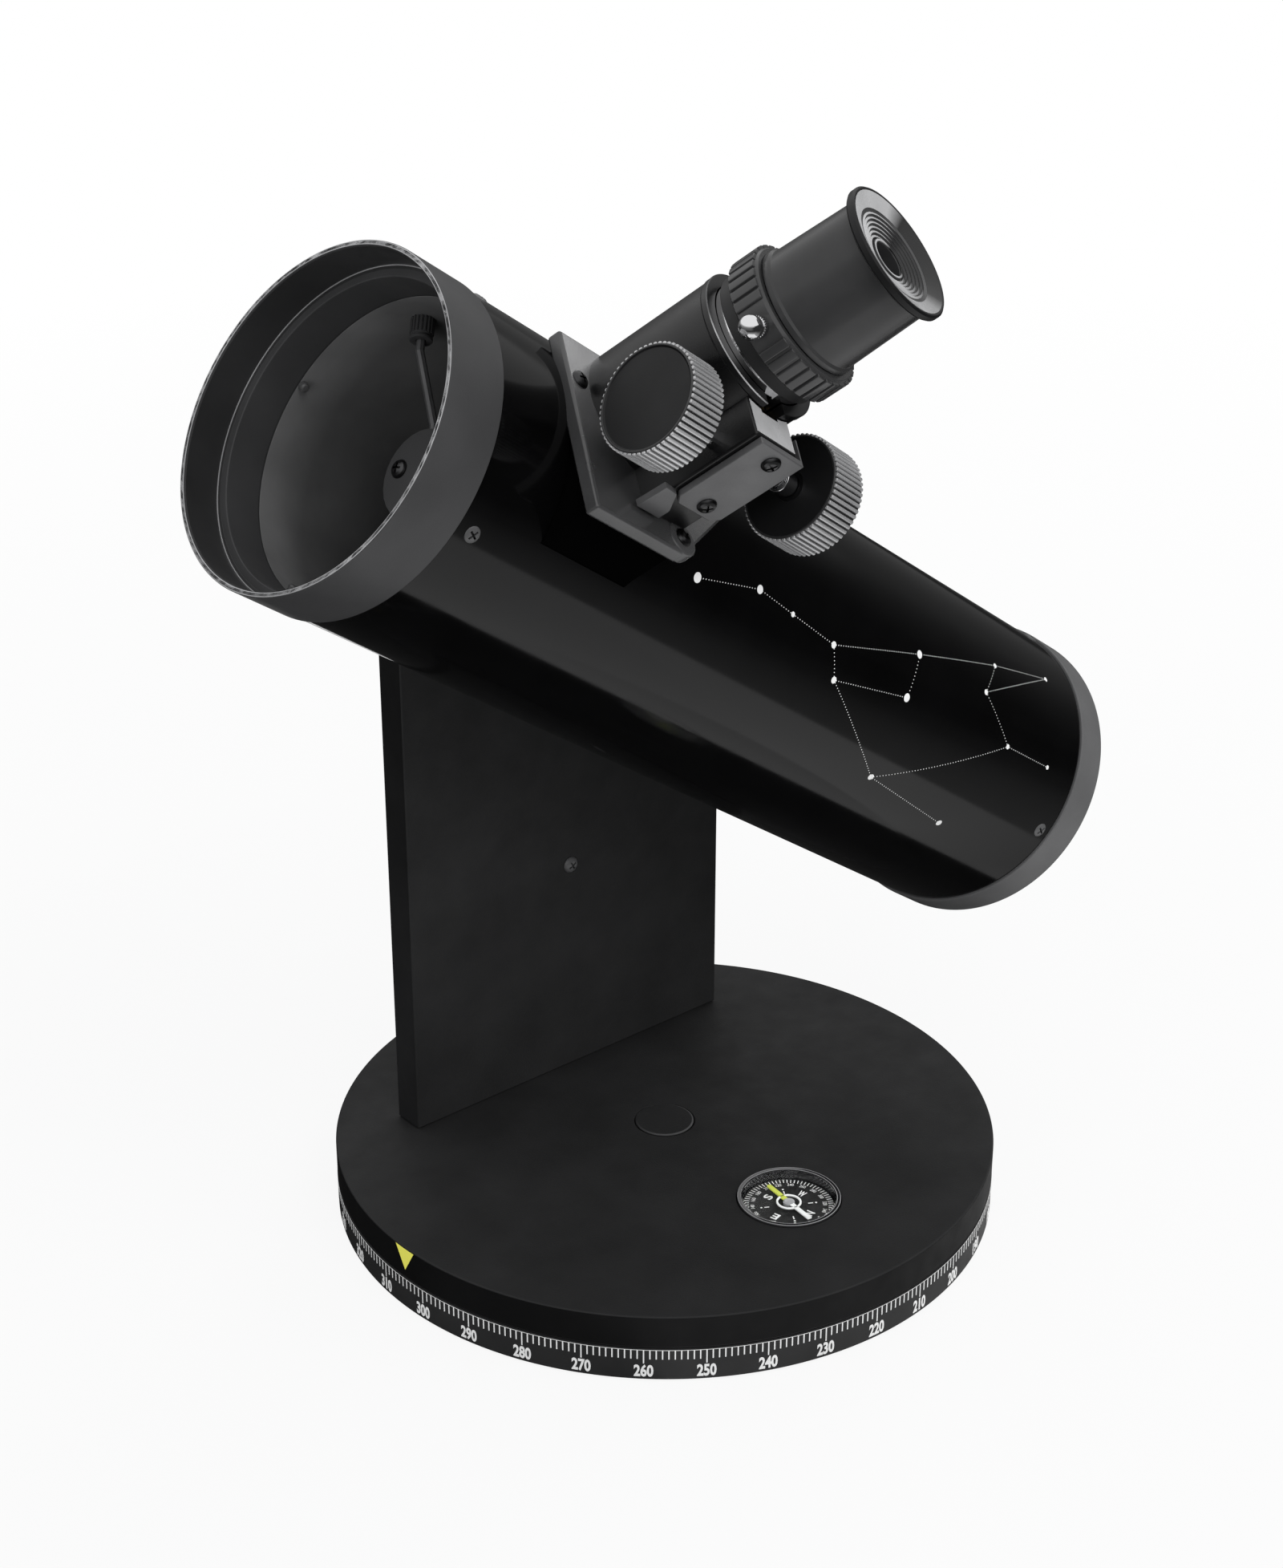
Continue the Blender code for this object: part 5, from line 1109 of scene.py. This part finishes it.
# %% Helper that ribs a core
def ribbed(core, count, radius, width, depth, low, high, material, gap_way=(1.0, 0.0, 0.0),
           gap=0.0):
    """A turned core with ribs that stand depth above radius, but for a gap in degrees."""
    ease = min(depth, width) * 0.35
    half = width / 2.0
    side = [(-depth, -half), (depth - ease, -half), (depth, -half + ease), (depth, half - ease),
            (depth - ease, half), (-depth, half)]
    rib = bevelled(prism(side, low, high), ease * 0.7, 1)
    gap_cosine = math.cos(math.radians(gap / 2.0)) if gap else NO_GAP
    return circle_of(rib, count, radius, material, core, gap_way=gap_way, gap_cosine=gap_cosine)


# %% Focus knobs
knob_core = [(0.0, 37.2), (14.2, 37.2), (14.45, 37.6), (14.7, 37.6), (14.7, 24.9), (4.4, 24.9),
             (4.4, 25.6), (0.0, 25.6)]
knob_band = [(14.6, 37.7), (15.0, 37.7), (15.15, 37.5), (15.15, 25.1), (15.0, 24.8), (14.5, 24.8),
             (14.5, 37.5)]
for name, node, side in (("knob_front", "focus_knob_front", -90.0),
                         ("knob_rear", "focus_knob_rear", 90.0)):
    knob_piece = on_body("focus_pinion", FOCUSER @ PINION_PLACE @ turn("Y", side), "black_plastic")
    knob_piece(name + "_core", turned(knob_core, 0.3, 96), knob_plastic, node)
    knob_piece(name + "_rim", ring(knob_band, 0.12, 144), knob_edge)
    ribs = ribbed(None, 60, 15.1, 1.08, 0.68, 25.2, 37.45, knob_rim)
    knob_piece(name + "_ribs", ribs, knob_rim)
    collar = ring(band(2.65, 3.6, 19.5, 24.7), 0.4, 48)
    knob_piece(name + "_collar", collar, chrome, slot="chrome")

# %% [markdown]
# ## Draw tube and eyepiece ring
# The chromed draw tube slides in the bore, and a ribbed black ring on its end clamps the eyepiece.
# A small chrome screw with a ball end goes in through the gap between the ring's ribs.

# %% Draw tube, eyepiece ring and lock screw
LOCK_ANGLE = math.radians(150.0)
LOCK_HEIGHT = 105.3
BALL, BALL_MIDDLE = 3.4, 25.9
GRIP_STEPS = 144
slider_piece = on_body("focus_slider", FOCUSER, "chrome")
draw_tube = ring(band(16.15, 18.35, 45.0, 108.0), 0.3, BORE_STEPS)
slider_piece("draw_tube_face", draw_tube, chrome, "draw_tube")
lock_way = Vector((math.cos(LOCK_ANGLE), -math.sin(LOCK_ANGLE), 0.0))
ring_core = [(16.15, 110.5), (20.3, 110.5), (20.9, 109.6), (20.9, 101.3), (20.4, 100.8),
             (18.65, 100.8), (18.65, 108.3), (16.15, 108.3)]
grip = ribbed(ring(ring_core, 0.3, GRIP_STEPS), 36, 20.9, 2.85, 0.8, 101.4, 109.9, grip_plastic,
              lock_way, 36.0)
slider_piece("eyepiece_ring", grip, grip_plastic, "eyepiece_holder", slot="black_plastic")
slider_piece("holder_collar", ring(band(18.65, 19.5, 96.9, 101.0), 0.3, GRIP_STEPS), collar_black)
LOCK = FOCUSER @ move(0.0, 0.0, LOCK_HEIGHT) @ lock_way.to_track_quat("Z", "Y").to_matrix().to_4x4()
ball = [(BALL * math.sin(a), BALL_MIDDLE + BALL * math.cos(a))
        for a in [math.radians(15.0 * i) for i in range(1, 10)]]
lock_profile = [(0.0, BALL_MIDDLE + BALL)] + ball + [
    (2.2, 23.3), (2.8, 23.1), (2.8, 21.0), (1.8, 20.8), (1.8, 19.5), (0.0, 19.5)]
lock_mesh = ribbed(lathe(lock_profile, 64), 28, 2.8, 0.36, 0.25, 21.1, 23.0, chrome)
add_piece("lock_screw_face", lock_mesh, LOCK, chrome, "lock_screw",
          ["eyepiece_lock_screw"])

# %% [markdown]
# ## Eyepiece
# The eyepiece is a gloss black barrel with a wide eye flange.
# Its eye face steps down to the lens in fine rings, so the profile of the dish is a staircase.
# The crests of the rings are pieces of their own, in a light grey with a painted highlight that is
# bright in some sectors round the axis and dark in others.

# %% Eyepiece body and barrel
DISH_RINGS = 6
RING_STEP, RING_DROP = 1.15, 0.40
DISH_TOP = 139.4
EYE_STEPS = 160
eye_piece = on_body("eyepiece", FOCUSER, "black_plastic")
eye_profile = [(12.9, 111.0), (18.9, 110.8), (18.9, 112.4), (18.2, 113.0), (17.4, 138.0),
               (19.3, 138.9), (19.8, 139.5), (19.8, 140.9), (19.3, 141.4), (18.7, 141.3),
               (14.2, 139.7), (13.4, 139.5)]
crests = []
for step in range(DISH_RINGS):
    radius, depth = 13.0 - RING_STEP * step, DISH_TOP - RING_DROP * step
    eye_profile += [(radius, depth), (radius - 0.55, depth + 0.14), (radius - 0.75, depth - 0.40)]
    inner, outer = 12.45 - RING_STEP * step, 12.45 - RING_STEP * step + 0.65
    crest = [(inner, depth), (outer, depth - 0.12), (outer, depth + 0.05), (inner, depth + 0.2)]
    crests.append(ring(crest, 0.06, 96, 2))
eye_profile += [(6.3, 137.0), (6.1, 137.9), (5.5, 137.9), (5.2, 137.4), (5.2, 134.2), (12.9, 134.2)]
shell = ring(eye_profile, 0.14, EYE_STEPS, 3)
eye_piece("eyepiece_shell", shell, gloss_plastic, "eyepiece_body")
crests.append(lathe([(18.6, 141.24), (14.2, 139.68), (14.2, 139.74), (18.6, 141.32)], EYE_STEPS,
                    True))
crests.append(ring(band(5.35, 5.95, 137.6, 138.0), 0.12, 96, 2))
eye_piece("eye_dish_rings", joined(crests), dish_highlight)
flange_edge = [(19.3, 138.85), (19.84, 139.45), (19.84, 140.92), (19.32, 141.44), (18.62, 141.34),
               (18.62, 141.2), (19.2, 141.25), (19.65, 140.8), (19.65, 139.6), (19.2, 139.1)]
eye_piece("eye_flange_edge", ring(flange_edge, 0.1, EYE_STEPS, 2), knob_plastic)
eye_sleeve = ring(band(14.25, 15.85, 86.8, 110.9), 0.3, BORE_STEPS)
eye_piece("eyepiece_sleeve", eye_sleeve, chrome, "eyepiece_barrel", slot="chrome")

# %% Eye lens
LENS_LOW, LENS_HIGH = 129.8, 133.9
LENS_RADIUS, LENS_DOME, LENS_RINGS = 7.0, 1.3, 8
lens_profile = [(0.0, LENS_HIGH)]
for step in range(1, LENS_RINGS + 1):
    lens_profile.append((LENS_RADIUS * step / LENS_RINGS,
                         LENS_HIGH - LENS_DOME * (step / LENS_RINGS) ** 2))
lens_profile += [(LENS_RADIUS, LENS_LOW), (0.0, LENS_LOW)]
eye_piece("eye_lens_face", lathe(lens_profile, 64), clear_glass, "eye_lens", slot="clear_glass")

# %% [markdown]
# ## Tension knob
# Behind the arm, a ribbed knob on the tilt bolt sets how stiffly the tube tilts.
# The photograph hides it, so its shape follows the solid.

# %% Tension knob
TENSION = BOARD @ move(PIVOT.x, 0.0, PIVOT.z) @ turn("X", -90.0)
TENSION_OUT = 17.8
knob_low, knob_high = [corner.y for corner in box_of("altitude_knob")]
tension_core = turned([(0.0, knob_high - 1.2), (12.5, knob_high - 1.2), (14.0, knob_high),
                       (17.0, knob_high), (TENSION_OUT, knob_high - 1.2),
                       (TENSION_OUT, knob_low + 4.0), (11.0, knob_low), (BOLT_HOLE, knob_low),
                       (BOLT_HOLE, knob_low + 11.0), (0.0, knob_low + 11.0)], 0.5, 96)
tension_knob = ribbed(tension_core, 24, TENSION_OUT, 2.6, 1.1, knob_low + 4.2, knob_high - 1.4,
                      knob_plastic)
add_piece("tension_knob_face", tension_knob, TENSION, knob_plastic, "tension_knob",
          ["altitude_knob"])

# %% [markdown]
# ## Screws
# Every screw here is the same pan-head cross screw, so one screw is modelled with its recess.
# The tree reads a list of places and directions from a small point mesh and sets a screw on each.

# %% Cross screw and its tree
screw_mesh = turned([(0.0, 1.5), (1.5, 1.34), (2.35, 0.92), (2.8, 0.3), (2.8, 0.0), (1.35, 0.0),
                     (1.35, -5.3), (0.9, -5.8), (0.0, -5.8)], 0.15, 28, 2)
for angle in (0.0, 90.0):
    slot = moved(block((-1.55, -0.32, 0.55), (1.55, 0.32, 2.5)), turn("Z", angle))
    screw_mesh = combined("DIFFERENCE", screw_mesh, slot)

screw_tree, given = new_tree("cross_screws", {})
axis, twist = [
    add_node(screw_tree, "GeometryNodeInputNamedAttribute", values={"Name": label}, data_type=kind)
    for label, kind in (("direction", "FLOAT_VECTOR"), ("turn", "FLOAT"))]
facing = add_node(screw_tree, "FunctionNodeAlignRotationToVector", {"Vector": axis.outputs[0]},
                  axis="Z")
placed = set_on(screw_tree, given, given["Geometry"], facing.outputs[0])
about_z = add_node(screw_tree, "ShaderNodeCombineXYZ", {"Z": twist.outputs[0]})
twisted = add_node(screw_tree, "GeometryNodeRotateInstances",
                   {"Instances": placed, "Rotation": about_z.outputs[0]})
end_tree(screw_tree, given, twisted.outputs[0])


def screws(name, places, material, body):
    """Screws from a table of each solid's place, direction and turn, in the board's frame."""
    spots = bpy.data.meshes.new("spots")
    spots.from_pydata([spot for spot, way, angle in places.values()], [], [])
    spots.attributes.new("direction", "FLOAT_VECTOR", "POINT")
    spots.attributes.new("turn", "FLOAT", "POINT")
    for index, (spot, way, angle) in enumerate(places.values()):
        spots.attributes["direction"].data[index].vector = way
        spots.attributes["turn"].data[index].value = math.radians(angle)
    add_piece(name, grow(screw_tree, spots, screw_mesh, material), BOARD, material, body,
              list(places))


def in_board(matrix, point, way, angle):
    """A place and a direction of a working frame, in millimetres in the board's frame."""
    local = BOARD.inverted() @ matrix
    return local @ Vector(point), (local.to_3x3() @ Vector(way)).normalized(), angle


# %% Screws of the tube, the focuser and the arm
STALK_ALONG, STALK_ROUND = -118.8, -28.5
UPWARD, NEARWARD = (0.0, 0.0, 1.0), (0.0, -1.0, 0.0)
tube_screws = {}
for end, along in (("front", -129.8), ("rear", 153.1)):
    for index, degrees in enumerate((102.0, 12.0, -78.0, -168.0)):
        tube_screws[f"tube_screw_{end}_{index + 1}"] = in_board(
            TUBE, on_tube(along, degrees, TUBE_OUT - 0.8), on_tube(0.0, degrees, 1.0),
            20.0 + 37.0 * index)
screws("tube_screws", tube_screws, screw_paint, "optical_tube")
dark_screws = {}
for index, degrees in enumerate((-95.0, 25.0, 145.0)):
    dark_screws[f"collimation_screw_{index + 1}"] = in_board(
        TUBE, on_tube(-114.5, degrees, 8.4), (-1.0, 0.0, 0.0), 15.0 + 50.0 * index)
for name, x, y, lift in (("front", -25.5, 3.0, 0.0), ("side", *SIDE_SCREW, 0.3),
                         ("rear", 25.5, 3.0, 0.0)):
    dark_screws["saddle_screw_" + name] = in_board(FOCUSER, (x, y, PLATE_TOP + lift), UPWARD,
                                                   25.0 + x)
for name, height in (("lower", 65.5), ("upper", 87.5)):
    dark_screws["cover_screw_" + name] = in_board(FOCUSER, (COVER_SHIFT, -34.75, height), NEARWARD,
                                                  height)
dark_screws["spider_screw"] = in_board(TUBE, on_tube(STALK_ALONG, STALK_ROUND, TUBE_OUT),
                                       on_tube(0.0, STALK_ROUND, 1.0), 10.0)
screws("focuser_screws", dark_screws, nickel, "optical_tube")
screws("arm_screw_face", {"arm_screw": ((0.0, arm_low.y, 100.7), NEARWARD, 30.0)}, screw_paint,
       "turntable")

# %% [markdown]
# ## Stalk that carries the small mirror
# A single bent rod runs from the holder to a ribbed boss inside the mouth.
# The rod's solid is already right, so only the boss is made again, with its fine ribs.

# %% Stalk boss
BOSS = TUBE @ move(STALK_ALONG, 0.0, 0.0) @ turn("X", STALK_ROUND)
boss_core = turned([(0.0, 47.9), (3.1, 47.9), (3.1, 40.6), (2.5, 40.2), (3.3, 39.8), (3.3, 38.9),
                    (1.4, 38.9), (1.4, 42.0), (0.0, 42.0)], 0.2, 48)
boss = ribbed(boss_core, 18, 3.1, 0.62, 0.35, 40.9, 47.6, ring_plastic)
add_piece("stalk_boss", boss, BOSS, ring_plastic, "optical_tube", ["spider_boss"])

# %% [markdown]
# ## Solids that stay as they are
# Bolts, washers, the rack, the pinion's shaft, the mirrors and the field lens are right already.
# They only get a finish, and so do a few plain holders.

# %% Finishes for the carried-over solids
CARRIED = {
    "azimuth_bolt": nickel, "azimuth_insert": brass, "azimuth_washer": nylon,
    "arm_bolt_front": nickel, "arm_bolt_rear": nickel, "altitude_saddle": ring_plastic,
    "friction_washer": nylon, "altitude_bolt": nickel, "knob_washer": nylon,
    "primary_mirror": mirror_coat, "mirror_retainer": knob_plastic,
    "secondary_holder": ring_plastic, "secondary_mirror": mirror_coat, "spider_stalk": cover_metal,
    "pinion_shaft": chrome, "focus_rack": brass, "field_lens": clear_glass,
}
for name, material in CARRIED.items():
    slots = nodes[name].data.materials
    if not slots:
        slots.append(material)
    for index in range(len(slots)):
        slots[index] = material
print(len(CARRIED), "solids keep their shape")

# %% [markdown]
# ## Studio
# The picture has a plain white ground. The floor is a pale disc, and the world is white to the
# camera and to reflections but lights the object at a plain level.
# Flags on the floor, over the board and round the room are seen only by reflections.
# They give the gloss tube its dark band and the boards their sheen, as cards do in a studio.

# %% World and floor
SEEN_BY = ("Is Camera Ray", "Is Glossy Ray", "Is Transmission Ray")


def light_path_switch(tree, one, two, share=1.0):
    """Mix shader two over one, by a share, for camera, glossy and transmission rays."""
    path = add_node(tree, "ShaderNodeLightPath")
    total = None
    for label in SEEN_BY:
        part = add_node(tree, "ShaderNodeMath", {0: path.outputs[label]}, {1: share, 2: 0.0},
                        operation="MULTIPLY_ADD", use_clamp=True)
        if total is not None:
            tree.links.new(total, part.inputs[2])
        total = part.outputs[0]
    return add_node(tree, "ShaderNodeMixShader", {0: total, 1: one, 2: two}).outputs[0]


world = bpy.data.worlds.new("studio")
scene.world = world
world.use_nodes = True
world_tree = world.node_tree
plain = world_tree.nodes["Background"]
plain.inputs["Color"].default_value = (0.97, 0.98, 1.0, 1.0)
plain.inputs["Strength"].default_value = 0.62
white = add_node(world_tree, "ShaderNodeBackground",
                 values={"Color": (1.0, 1.0, 1.0, 1.0), "Strength": 1.0})
world_tree.links.new(light_path_switch(world_tree, plain.outputs[0], white.outputs[0]),
                     world_tree.nodes["World Output"].inputs["Surface"])

floor_paint = bpy.data.materials.new("floor_paint")
floor_paint.use_nodes = True
floor_tree = floor_paint.node_tree
floor_shader = floor_tree.nodes["Principled BSDF"]
floor_shader.inputs["Base Color"].default_value = (0.72, 0.72, 0.72, 1.0)
floor_shader.inputs["Roughness"].default_value = 0.9
floor_glow = add_node(floor_tree, "ShaderNodeEmission", values={"Strength": 1.0})
near_floor, far_floor = [
    light_path_switch(floor_tree, floor_shader.outputs[0], floor_glow.outputs[0], share)
    for share in (0.9, 1.0)]
reach = add_node(floor_tree, "ShaderNodeVectorMath", {0: object_place(floor_tree)},
                 operation="LENGTH")
fade = add_node(floor_tree, "ShaderNodeMapRange", {"Value": reach.outputs["Value"]},
                {"From Min": 0.25, "From Max": 1.2})
floor_mix = add_node(floor_tree, "ShaderNodeMixShader",
                     {0: fade.outputs[0], 1: near_floor, 2: far_floor})
floor_tree.links.new(floor_mix.outputs[0], floor_tree.nodes["Material Output"].inputs["Surface"])
floor = bpy.data.objects.new("floor", rod(1.4, -0.0006, -0.01, 96))
scene.collection.objects.link(floor)
floor.data.materials.append(floor_paint)

# %% Flags
SHARP_EDGE = 0.004
WALL_WAY, WALL_EDGE = (0.5, -0.866, 0.0), 0.6


def see_through(tree, share, shown):
    """A shader that shows by its share and is clear for the rest."""
    clear = add_node(tree, "ShaderNodeBsdfTransparent")
    return add_node(tree, "ShaderNodeMixShader",
                    {0: share, 1: clear.outputs[0], 2: shown}).outputs[0]


def flag(name, mesh, direction, edge, stops, open_radius=None, top_only=False):
    """A card that only reflections see. Its grey follows the distance past an edge, in metres."""
    paint = bpy.data.materials.new(name)
    paint.use_nodes = True
    paint.cycles.emission_sampling = "NONE"
    tree = paint.node_tree
    tree.nodes.remove(tree.nodes["Principled BSDF"])
    place = object_place(tree)
    across = add_node(tree, "ShaderNodeVectorMath", {0: place}, {1: direction},
                      operation="DOT_PRODUCT")
    past = add_node(tree, "ShaderNodeMath", {0: across.outputs["Value"]}, {1: edge},
                    operation="SUBTRACT").outputs[0]
    glow = add_node(tree, "ShaderNodeEmission")
    shown = glow.outputs[0]
    if open_radius:
        length = add_node(tree, "ShaderNodeVectorMath", {0: place}, operation="LENGTH")
        outside = add_node(tree, "ShaderNodeMath", {0: length.outputs["Value"]}, {1: open_radius},
                           operation="SUBTRACT")
        past = add_node(tree, "ShaderNodeMath", {0: past, 1: outside.outputs[0]},
                        operation="MAXIMUM").outputs[0]
        sharp = add_node(tree, "ShaderNodeMapRange", {"Value": past},
                         {"From Min": -SHARP_EDGE, "From Max": SHARP_EDGE})
        shown = see_through(tree, sharp.outputs[0], shown)
    if top_only:
        side = add_node(tree, "ShaderNodeNewGeometry")
        facing_up = add_node(tree, "ShaderNodeSeparateXYZ", {0: side.outputs["True Normal"]})
        above = add_node(tree, "ShaderNodeMath", {0: facing_up.outputs["Z"]}, {1: 0.0},
                         operation="GREATER_THAN")
        shown = see_through(tree, above.outputs[0], shown)
    tree.links.new(add_ramp(tree, past, stops), glow.inputs["Color"])
    tree.links.new(shown, tree.nodes["Material Output"].inputs["Surface"])
    card = bpy.data.objects.new(name, mesh)
    scene.collection.objects.link(card)
    card.data.materials.append(paint)
    card.visible_camera = False
    card.visible_diffuse = False
    card.visible_transmission = False
    card.visible_shadow = False


flag("floor_flag", rod(1.6, -0.0002, -0.0004, 96), (0.745, -0.667, 0.0), 0.2438,
     [(0.0, 0.36), (0.126, 0.24), (0.268, 0.10), (0.515, 0.03), (1.0, 0.02)], open_radius=0.40)
tail_corners = [(-0.45, -0.133), (0.45, -0.016), (0.45, 0.33), (-0.45, 0.33)]
flag("tail_flag", prism(tail_corners, -0.0003, -0.0001), (1.0, 0.0, 0.0), 0.0,
     [(0.0, 0.02), (1.0, 0.02)])
band_corners = [(0.05, -0.30), (0.45, -0.30), (0.45, -0.016), (0.05, -0.068)]
flag("band_flag", prism(band_corners, -0.00055, -0.0005), (0.6, 0.8, 0.0), -0.05,
     [(0.0, 1.0), (0.05, 0.8), (0.08, 0.52), (0.3, 0.4)])
card_angles = [math.radians(-135.0 + 4.035 * i) for i in range(27)]
card_corners = [(0.1115 * math.cos(a), 0.1115 * math.sin(a)) for a in card_angles]
flag("board_card", prism(card_corners, 0.0237, 0.0238), (1.0, 0.0, 0.0), -0.2,
     [(0.0, 0.9), (0.15, 0.9), (0.3, 0.62)], top_only=True)
for name, radius, low, high, stops in (
        ("low_wall_flag", 1.45, 0.0, 0.40, [(0.0, 0.12), (0.5, 0.03)]),
        ("high_wall_flag", 1.5, 0.66, 0.86, [(0.0, 0.5), (0.58, 0.5), (0.68, 0.03)]),
        ("wall_flag", 1.5, 0.0, 0.659, [(0.0, 0.2), (0.5, 0.03)])):
    flag(name, lathe(band(radius, radius + 0.02, low, high), 96, True), WALL_WAY, WALL_EDGE, stops)
print(len(bpy.data.materials), "materials with the floor and the flags")

# %% Lamps
for name, place, aim_height, size, power in (
        ("key_light", (-0.15, -0.85, 1.35), 0.18, 0.9, 6.2),
        ("side_light", (1.05, 0.30, 0.75), 0.18, 0.6, 3.0),
        ("front_fill", (0.75, -1.05, 0.42), 0.2, 0.6, 4.5),
        ("left_fill", (-1.15, -0.35, 0.45), 0.2, 0.6, 2.2)):
    lamp_data = bpy.data.lights.new(name, "AREA")
    lamp_data.shape = "DISK"
    lamp_data.size = size
    lamp_data.energy = power
    lamp = bpy.data.objects.new(name, lamp_data)
    aimed(lamp, place, (0.0, 0.0, aim_height))
    lamp.visible_glossy = False
scene.view_settings.view_transform = "Standard"
print("studio has", len(bpy.data.lights), "lamps")
